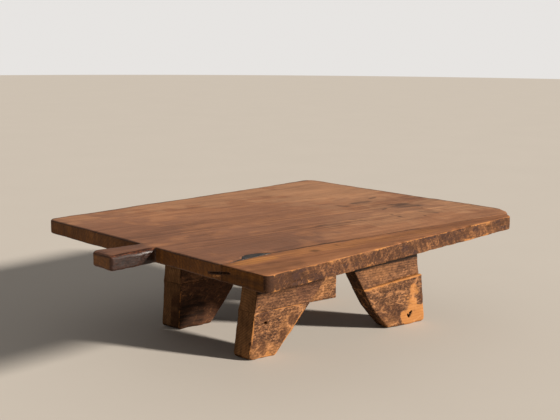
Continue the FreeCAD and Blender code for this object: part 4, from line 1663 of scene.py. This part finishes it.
@dataclass
class SideFrame:
    """One rail with the two feet pieced under its ends."""

    groups: dict[str, bpy.types.NodeTree]
    middle: float
    node: str
    front: float
    thickness: float
    skew: float
    notch: tuple[Point2, Point2]
    feet: tuple[FootSizes, FootSizes]
    seed: int
    strokes: Patches = ()
    rail_cut: Cut = Cut(step=0.0024, side_step=0.0018, face_step=0.0034, back_step=0.0045, wave=0.07,
                        wave_seed=0, rub=0.4, rub_size=0.03, rub_seed=1, corner_reach=0.005)
    foot_cut: Cut = Cut(step=0.00192, side_step=0.0018, face_step=0.0030, back_step=0.004, wave=0.06,
                        wave_seed=20, rub=0.4, rub_size=0.025, rub_seed=21, corner_reach=0.007)
    swell: float = 0.0006
    chatter: float = 0.0005
    underside: float = field(init=False)

    def __post_init__(self) -> None:
        """Read the height of the rail's top from its solid."""
        self.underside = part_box(self.node)[1].z

    def toe_at(self, foot: FootSizes, level: float) -> float:
        """Place of a foot's raked end along the rail, at a level."""
        return foot.end.value * (foot.toe - foot.rake * level / self.underside)

    def shoulder_at(self, foot: FootSizes) -> Point2:
        """Inner end of a foot's joint.

        Args:
            foot: The foot.

        Returns:
            The shoulder, slid down the bellied notch side by the joint's drop.
        """
        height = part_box(foot.node)[1].z
        inward = (foot.heel - foot.shoulder) / 2 - foot.belly
        slid = foot.shoulder + inward * foot.joint_drop / (height / 2)
        return foot.end.value * slid, height - foot.joint_drop

    def step_at(self, foot: FootSizes, along: np.ndarray) -> np.ndarray:
        """How far a foot stands out from its rail: nothing at its shoulder, its step at its toe."""
        return foot.step * np.clip((abs(along) - foot.shoulder) / (foot.toe - foot.shoulder), 0.0, 1.0)

    def hole_at(self, foot: FootSizes, hole: Dent) -> Dent:
        """A hole in the table's frame.

        Args:
            foot: The foot.
            hole: The hole in its side view.

        Returns:
            The hole, moved to the foot's front face.
        """
        ends = np.array([hole.start, hole.end])
        level = self.front - self.step_at(foot, ends[:, 0])
        start, end = turned(np.column_stack([ends[:, 0], level, ends[:, 1]]), self.middle)
        return replace(hole, start=tuple(start), end=tuple(end))

    def place(self, shell: Shell, front: np.ndarray | float) -> None:
        """Move a shell from its side view and depth into the table's frame."""
        base = np.column_stack([shell.places[:, 0], front + shell.places[:, 2], shell.places[:, 1]])
        shell.places = turned(base, self.middle)

    def build_rail(self) -> None:
        """Rail: its side view with the V notch and raked ends, swept through its thickness."""
        left, right = self.feet
        left_joint, right_joint = (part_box(foot.node)[1].z for foot in self.feet)
        top = self.underside
        corners = [
            (self.toe_at(left, left_joint), left_joint), self.shoulder_at(left), *self.notch,
            self.shoulder_at(right), (self.toe_at(right, right_joint), right_joint),
            (self.toe_at(right, top), top), (self.toe_at(left, top), top),
        ]
        sides = [
            upright_side(0.0005, 0.0, left.seam_arris, 0.45, 0.2, skewed=True),
            upright_side(0.0015, 0.8, 2.4, 0.5, 0.3),
            upright_side(0.004, 0.8, 1.5, 0.4),
            upright_side(0.004, 0.8, 2.4, 0.5),
            upright_side(0.0015, 0.0, right.seam_arris, 0.45, 0.3),
            upright_side(0.0012, 0.8, 2.6, 0.5, 0.2, skewed=True),
            upright_side(0.003, 0.0, 0.8, 0.0, skewed=True),
            upright_side(0.003, 0.8, 2.6, 0.4, skewed=True),
        ]
        cut = self.rail_cut.seeded(self.seed)
        detail = np.vstack([NO_POINTS, *(stroke.grid(STROKE_STEP) for stroke in self.strokes)])
        shell = cut.shell(cut.outline(corners, sides), sides, self.thickness, skew=self.skew, extra=detail)
        view = shell.places[:, :2].copy()
        self.place(shell, self.front)
        shell.wear(self.swell, self.chatter, self.seed + 3)
        faces = shell.face != 1
        on_end = ~faces & (abs(view[:, 0]) > 0.15)
        # Painted shadow of the top: a dark band over the rail's upper part, its lower edge slanting with the
        # shadow's edge, faint on the ends
        painted_top_shadow = ease(view[:, 1] - 0.036 * view[:, 0], 0.1345, 0.1385)
        bare = np.maximum(cover(view, self.strokes), cover(view, RAIL_FACE[Mark.BARE], 0.5))
        shell.marks = {
            Mark.BARE: faces * bare,
            Mark.STAIN_AND_SHADE: np.where(on_end, 0.15, 0.85) * painted_top_shadow,
            Mark.WARM: faces * cover(view, RAIL_FACE[Mark.WARM], 0.5),
            Mark.ROSE: faces * cover(view, RAIL_FACE[Mark.ROSE], 0.5),
        }
        self.clear_under(shell)
        settle(shell.to_object(f"worn_{self.node}"), self.node,
               RAIL_WOOD.material(self.groups))

    def foot_view(self, foot: FootSizes) -> tuple[list[Point2], list[Side]]:
        """Side view of a foot.

        Args:
            foot: The foot.

        Returns:
            Its corners, anticlockwise, and the side that starts at each of them.
        """
        height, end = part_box(foot.node)[1].z, foot.end.value
        proud = foot.step > 0.0
        sole = upright_side(0.0, 0.0, 5.0, 0.64)
        notch = upright_side(0.0, 0.8, 2.6, 0.64)
        joint = upright_side(0.0, 0.0, 2.2 if proud else foot.seam_arris, 0.75 if proud else 0.64)
        raked = upright_side(0.0, 0.8, 2.6, 0.95)
        toe = (self.toe_at(foot, 0.0), 0.0), {"radius": foot.toe_radius, "corner_wear": 0.5, "skewed": True}
        heel = (end * foot.heel, 0.0), {"radius": 0.009, "corner_wear": 0.5}
        belly = (end * ((foot.heel + foot.shoulder) / 2 - foot.belly), height / 2), {"radius": 0.05}
        shoulder = self.shoulder_at(foot), {"radius": 0.002}
        upper_radius = 0.003 if proud else 0.0005
        upper = (self.toe_at(foot, height), height), {"radius": upper_radius, "skewed": True}
        if foot.end is End.HANDLE:
            walk = [(toe, sole), (heel, notch), (belly, notch), (shoulder, joint), (upper, raked)]
        else:
            walk = [(heel, sole), (toe, raked), (upper, joint), (shoulder, notch), (belly, notch)]
        return [place for (place, _), _ in walk], [replace(side, **corner) for (_, corner), side in walk]

    def build_foot(self, foot: FootSizes) -> None:
        """Foot: its side view with a bellied notch side, swept, with its holes and bare patches.

        Args:
            foot: The foot.
        """
        corners, sides = self.foot_view(foot)
        cut = self.foot_cut.seeded(self.seed)
        hole_ends = [place[:2] for hole in foot.holes for place in (hole.start, hole.end)]
        rings = [ring_points(place, HOLE_RINGS) for place in hole_ends]
        detail = np.vstack([NO_POINTS, *rings, *(stroke.grid(STROKE_STEP) for stroke in foot.strokes)])
        shell = cut.shell(cut.outline(corners, sides), sides, self.thickness, skew=self.skew,
                          extra=np.unique(detail.round(6), axis=0))
        view = shell.places[:, :2].copy()
        outer = shell.places[:, 2] < self.thickness / 2
        self.place(shell, self.front - self.step_at(foot, view[:, 0]))
        holes = tuple(self.hole_at(foot, hole) for hole in foot.holes)
        shell.wear(self.swell, self.chatter, self.seed + (23 if foot.step else 3), holes)
        shell.places[:, 2] = np.maximum(shell.places[:, 2], 0.0)
        flat_view = in_space(view)
        hollow = np.maximum.reduce([np.zeros(len(view)), *(hole.pressed(flat_view) for hole in foot.holes)])
        still_dark = np.maximum(hollow, cover(view, foot.kept, 0.3))
        # Painted shadows from the foot's own dark patches, on its front face
        stain_and_shade_share = (shell.face == 0) * cover(view, foot.stain_and_shade, 0.15)
        shell.marks = {
            Mark.BARE: outer * (cover(view, foot.bare + foot.strokes, 0.3) - 2.0 * still_dark),
            Mark.STAIN_AND_SHADE: outer * np.maximum(hollow, stain_and_shade_share),
            Mark.WARM: outer * cover(view, foot.warm, 0.4),
            Mark.ROSE: outer * cover(view, foot.rose, 0.5),
        }
        self.clear_under(shell)
        settle(shell.to_object(f"worn_{foot.node}"), foot.node,
               FOOT_WOOD.material(self.groups))

    @staticmethod
    def clear_under(shell: Shell) -> None:
        """Count both broad faces of an upright piece as faces."""
        shell.face = np.where(shell.face == 2, 0, shell.face)

    def build(self) -> None:
        """Build the rail and its feet."""
        self.build_rail()
        for foot in self.feet:
            self.build_foot(foot)


FRONT_FOOT = FootSizes(
    "front_foot", End.HANDLE, toe=0.217, heel=0.155, shoulder=0.067, rake=0.031, belly=0.002, seam_arris=0.4,
    bare=patches(
        (-0.160, 0.033, 0.012, 0.013, 0.0, 0.6), (-0.164, 0.007, 0.014, 0.009, 0.0, 0.75),
        (-0.131, 0.061, 0.007, 0.011, 0.0, 0.85), (-0.126, 0.083, 0.008, 0.008, 0.0, 0.6),
        (-0.10, 0.084, 0.02, 0.012, 0.0, 0.3), (-0.165, 0.095, 0.05, 0.004, 0.0, 0.3),
    ),
    strokes=patches(
        (-0.133, 0.0942, 0.033, 0.0013, 0.0, 0.8), (-0.1941, 0.0839, 0.010, 0.0015, -26.0, 0.65),
        (-0.1583, 0.0755, 0.007, 0.0015, 6.0, 0.65), (-0.1533, 0.0616, 0.012, 0.0017, -80.0, 0.65),
        (-0.1908, 0.0421, 0.008, 0.0015, 9.0, 0.7), (-0.1805, 0.0372, 0.007, 0.0015, -65.0, 0.7),
        (-0.0936, 0.0713, 0.026, 0.0016, -131.0), (-0.1298, 0.0285, 0.03, 0.0016, -129.0),
        (-0.2064, 0.0592, 0.0265, 0.0015, -96.0, 0.8),
    ),
    rose=patches(
        (-0.180, 0.086, 0.013, 0.012, 0.0, 0.9), (-0.190, 0.059, 0.013, 0.013, 0.0, 0.9),
        (-0.138, 0.039, 0.010, 0.013, 0.0, 0.9), (-0.107, 0.071, 0.011, 0.013, 0.0, 0.8),
        (-0.187, 0.025, 0.008, 0.012, 0.0, 0.8), (-0.205, 0.033, 0.007, 0.008, 0.0, 0.8),
    ),
    warm=patches(
        (-0.175, 0.014, 0.05, 0.020, 0.0, 0.4), (-0.130, 0.055, 0.014, 0.04, -38.0, 0.35),
    ),
    holes=(Dent((-0.1785, 0.0712, 0.0), (-0.1765, 0.0702, 0.0), 0.0034, 0.008),),
)
RIGHT_FOOT = FootSizes(
    "right_foot", End.FAR, toe=0.247, heel=0.145, shoulder=0.066, rake=0.024, belly=0.009, step=0.010,
    joint_drop=0.014, toe_radius=0.007,
    bare=patches(
        (0.213, 0.080, 0.019, 0.017, 0.0, 1.1), (0.193, 0.060, 0.013, 0.015, 0.0, 1.0),
        (0.209, 0.050, 0.014, 0.013, 0.0, 1.0), (0.211, 0.020, 0.038, 0.026, -6.0, 1.2),
        (0.236, 0.022, 0.018, 0.022, 0.0, 1.1), (0.110, 0.1000, 0.050, 0.0038, 4.7, 1.3),
        (0.190, 0.1058, 0.050, 0.0032, 4.7, 1.0),
    ),
    kept=patches(
        (0.244, 0.086, 0.010, 0.028, 0.0, 1.0), (0.238, 0.052, 0.011, 0.010, 0.0, 1.0),
    ),
    # Painted shadow: a dark line in the gap under the rail, above the foot's top arris
    stain_and_shade=patches((0.190, 0.1092, 0.045, 0.0020, 4.7, 0.9)),
    rose=patches(
        (0.152, 0.045, 0.032, 0.022, 10.0, 0.7), (0.170, 0.026, 0.012, 0.016, 0.0, 0.7),
        (0.236, 0.055, 0.008, 0.010, 0.0, 0.9), (0.238, 0.094, 0.010, 0.012, 0.0, 0.8),
    ),
    warm=patches(
        (0.12, 0.098, 0.05, 0.008, 0.0, 0.3), (0.14, 0.016, 0.03, 0.012, 0.0, 0.4),
    ),
    holes=(
        Dent((0.2075, 0.0290, 0.0), (0.2010, 0.0180, 0.0), 0.0026, 0.006),
        Dent((0.1975, 0.0235, 0.0), (0.2010, 0.0180, 0.0), 0.0024, 0.005),
    ),
)
LEFT_FOOT = FootSizes(
    "left_foot", End.HANDLE, toe=0.229, heel=0.150, shoulder=0.073, rake=0.014, belly=0.003, seam_arris=0.15,
    toe_radius=0.008,
    # Painted shadow that the near frame casts on this foot's broad face, left of a diagonal edge
    stain_and_shade=patches((-0.198, 0.0345, 0.036, 0.045, -39.0, 0.74)),
    rose=patches((-0.16, 0.05, 0.10, 0.10, 0.0, 0.95)),
)
BACK_FOOT = FootSizes(
    "back_foot", End.FAR, toe=0.207, heel=0.125, shoulder=0.055, rake=0.003, belly=0.003, seam_arris=0.3,
    toe_radius=0.003,
    warm=patches((0.15, 0.05, 0.05, 0.04, 0.0, 0.3)),
)
NEAR_STROKES = patches(
    (-0.1916, 0.1070, 0.0086, 0.0015, 36.0, 0.7), (-0.1749, 0.1054, 0.0118, 0.0015, -34.0, 0.7),
)


def side_frames(groups: dict[str, bpy.types.NodeTree], middle: float) -> list[SideFrame]:
    """The near and far side frames.

    Args:
        groups: The shared node groups by name.
        middle: Place of the middle of the top along X.

    Returns:
        The two side frames.
    """
    return [
        SideFrame(groups, middle, "near_rail", front=-0.147, thickness=0.040, skew=0.012,
                  notch=((0.008, 0.178), (0.026, 0.178)), feet=(FRONT_FOOT, RIGHT_FOOT), seed=101,
                  strokes=NEAR_STROKES),
        SideFrame(groups, middle, "far_rail", front=0.099, thickness=0.048, skew=0.015,
                  notch=((-0.012, 0.178), (0.006, 0.178)), feet=(LEFT_FOOT, BACK_FOOT), seed=151),
    ]


@dataclass(frozen=True)
class HiddenDowels:
    """Plain dowels inside the joints, which keep their solids and get a wood finish."""

    nodes: tuple[str, ...] = ("joint_dowels", "rail_dowels", "front_foot_dowels", "right_foot_dowels",
                              "left_foot_dowels", "back_foot_dowels")
    dark: Colour = (0.30, 0.17, 0.075)
    light: Colour = (0.50, 0.33, 0.17)
    roughness: float = 0.6

    def dress(self) -> None:
        """Give every dowel a straight-grained wood."""
        material, graph, shader, place = new_material("dowel_wood")
        grain = graph.noise(place, (420.0, 420.0, 24.0))
        graph.feed(shader.inputs["Base Color"], graph.ramp(grain, (self.dark, self.light)))
        shader.inputs["Roughness"].default_value = self.roughness
        for node in self.nodes:
            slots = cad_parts[node].data.materials
            slots.clear()
            slots.append(material)
            LOG.info("%s: dressed", node)


@dataclass(frozen=True)
class Studio:
    """Pale floor, one low key light from the right, soft sky light and the photograph's camera."""

    floor_reach: float = 14.0
    floor_points: int = 96
    floor_colour: Colour = (0.54, 0.49, 0.43)
    floor_mottle: float = 0.95
    floor_roughness: float = 0.85
    sky_colour: Colour = (1.0, 0.975, 0.95)
    sky_strength: float = 0.30
    backdrop: float = 0.80
    key_azimuth: float = 28.5
    key_elevation: float = 19.8
    key_spread: float = 4.5
    key_power: float = 7.9
    key_colour: Colour = (1.0, 0.94, 0.86)
    camera_place: Point3 = (-1.3320, -1.3253, 0.6114)
    camera_azimuth: float = -45.38
    camera_elevation: float = 10.62
    camera_roll: float = 0.40
    focal_pixels: float = 910.7
    image_width: float = 560.0
    sensor_width: float = 36.0

    @staticmethod
    def backward(azimuth: float, elevation: float) -> Vector:
        """Direction from the table to a viewer: azimuth 0 stands on the -Y side."""
        a, e = math.radians(azimuth), math.radians(elevation)
        return Vector((math.sin(a) * math.cos(e), -math.cos(a) * math.cos(e), math.sin(e)))

    def build_floor(self) -> None:
        """Plain pale floor, a wide disc with a faint mottle in its finish."""
        turn = np.linspace(0.0, 2 * math.pi, self.floor_points + 1)[:-1]
        unit = np.column_stack([np.cos(turn), np.sin(turn), np.zeros_like(turn)])
        mesh = bpy.data.meshes.new("floor")
        mesh.from_pydata((unit * self.floor_reach).tolist(), [], [list(range(len(unit)))])
        material, graph, shader, place = new_material("floor")
        mottle = graph.noise(place, (3.0, 3.0, 3.0), detail=5.0)
        darker = tuple(self.floor_mottle * part for part in self.floor_colour)
        graph.feed(shader.inputs["Base Color"], graph.ramp(mottle, (darker, self.floor_colour)))
        shader.inputs["Roughness"].default_value = self.floor_roughness
        mesh.materials.append(material)
        floor = bpy.data.objects.new("floor", mesh)
        bpy.context.scene.collection.objects.link(floor)

    def build_light(self) -> None:
        """Key light and sky, whose backdrop is brighter than the light that it gives."""
        light = bpy.data.lights.new("key", "SUN")
        light.energy = self.key_power
        light.color = self.key_colour
        light.angle = math.radians(self.key_spread)
        key = bpy.data.objects.new("key", light)
        back = self.backward(self.key_azimuth, self.key_elevation)
        key.location = back * self.floor_reach / 3
        key.rotation_mode = "QUATERNION"
        key.rotation_quaternion = back.to_track_quat("Z", "Y")
        bpy.context.scene.collection.objects.link(key)
        world = bpy.data.worlds.new("sky")
        world.use_nodes = True
        bpy.context.scene.world = world
        graph = Graph(world.node_tree)
        shader = world.node_tree.nodes["Background"]
        shader.inputs["Color"].default_value = (*self.sky_colour, 1.0)
        seen = graph.add("ShaderNodeLightPath").outputs["Is Camera Ray"]
        brighter = graph.times(seen, self.backdrop - self.sky_strength)
        graph.feed(shader.inputs["Strength"], graph.plus(self.sky_strength, brighter))

    def build_camera(self) -> None:
        """Camera at the photograph's place, turned by its azimuth, elevation and small roll."""
        camera = bpy.data.cameras.new("camera")
        camera.sensor_width = self.sensor_width
        camera.lens = self.focal_pixels * self.sensor_width / self.image_width
        camera.clip_end = 4 * self.floor_reach
        back = self.backward(self.camera_azimuth, self.camera_elevation)
        a, roll = math.radians(self.camera_azimuth), math.radians(self.camera_roll)
        right = Vector((math.cos(a), math.sin(a), 0.0))
        up = back.cross(right)
        level = right * math.cos(roll) + up * math.sin(roll)
        upright = up * math.cos(roll) - right * math.sin(roll)
        turn = Matrix((level, upright, back)).transposed().to_4x4()
        made = bpy.data.objects.new("camera", camera)
        made.matrix_world = Matrix.Translation(Vector(self.camera_place)) @ turn
        bpy.context.scene.collection.objects.link(made)
        bpy.context.scene.camera = made

    def build(self) -> None:
        """Build the floor, the lights and the camera."""
        self.build_floor()
        self.build_light()
        self.build_camera()
        bpy.context.scene.view_settings.view_transform = "Standard"


def main() -> None:
    """Build every sub-assembly in order."""
    logging.basicConfig(level=logging.INFO, format="%(name)s %(message)s")
    groups = {"wood_figure": wood_figure_group(), "patina": patina_group()}
    top = TableTop(groups)
    top.build()
    for side in side_frames(groups, top.middle):
        side.build()
    HiddenDowels().dress()
    Studio().build()


if __name__ == "__main__":
    main()
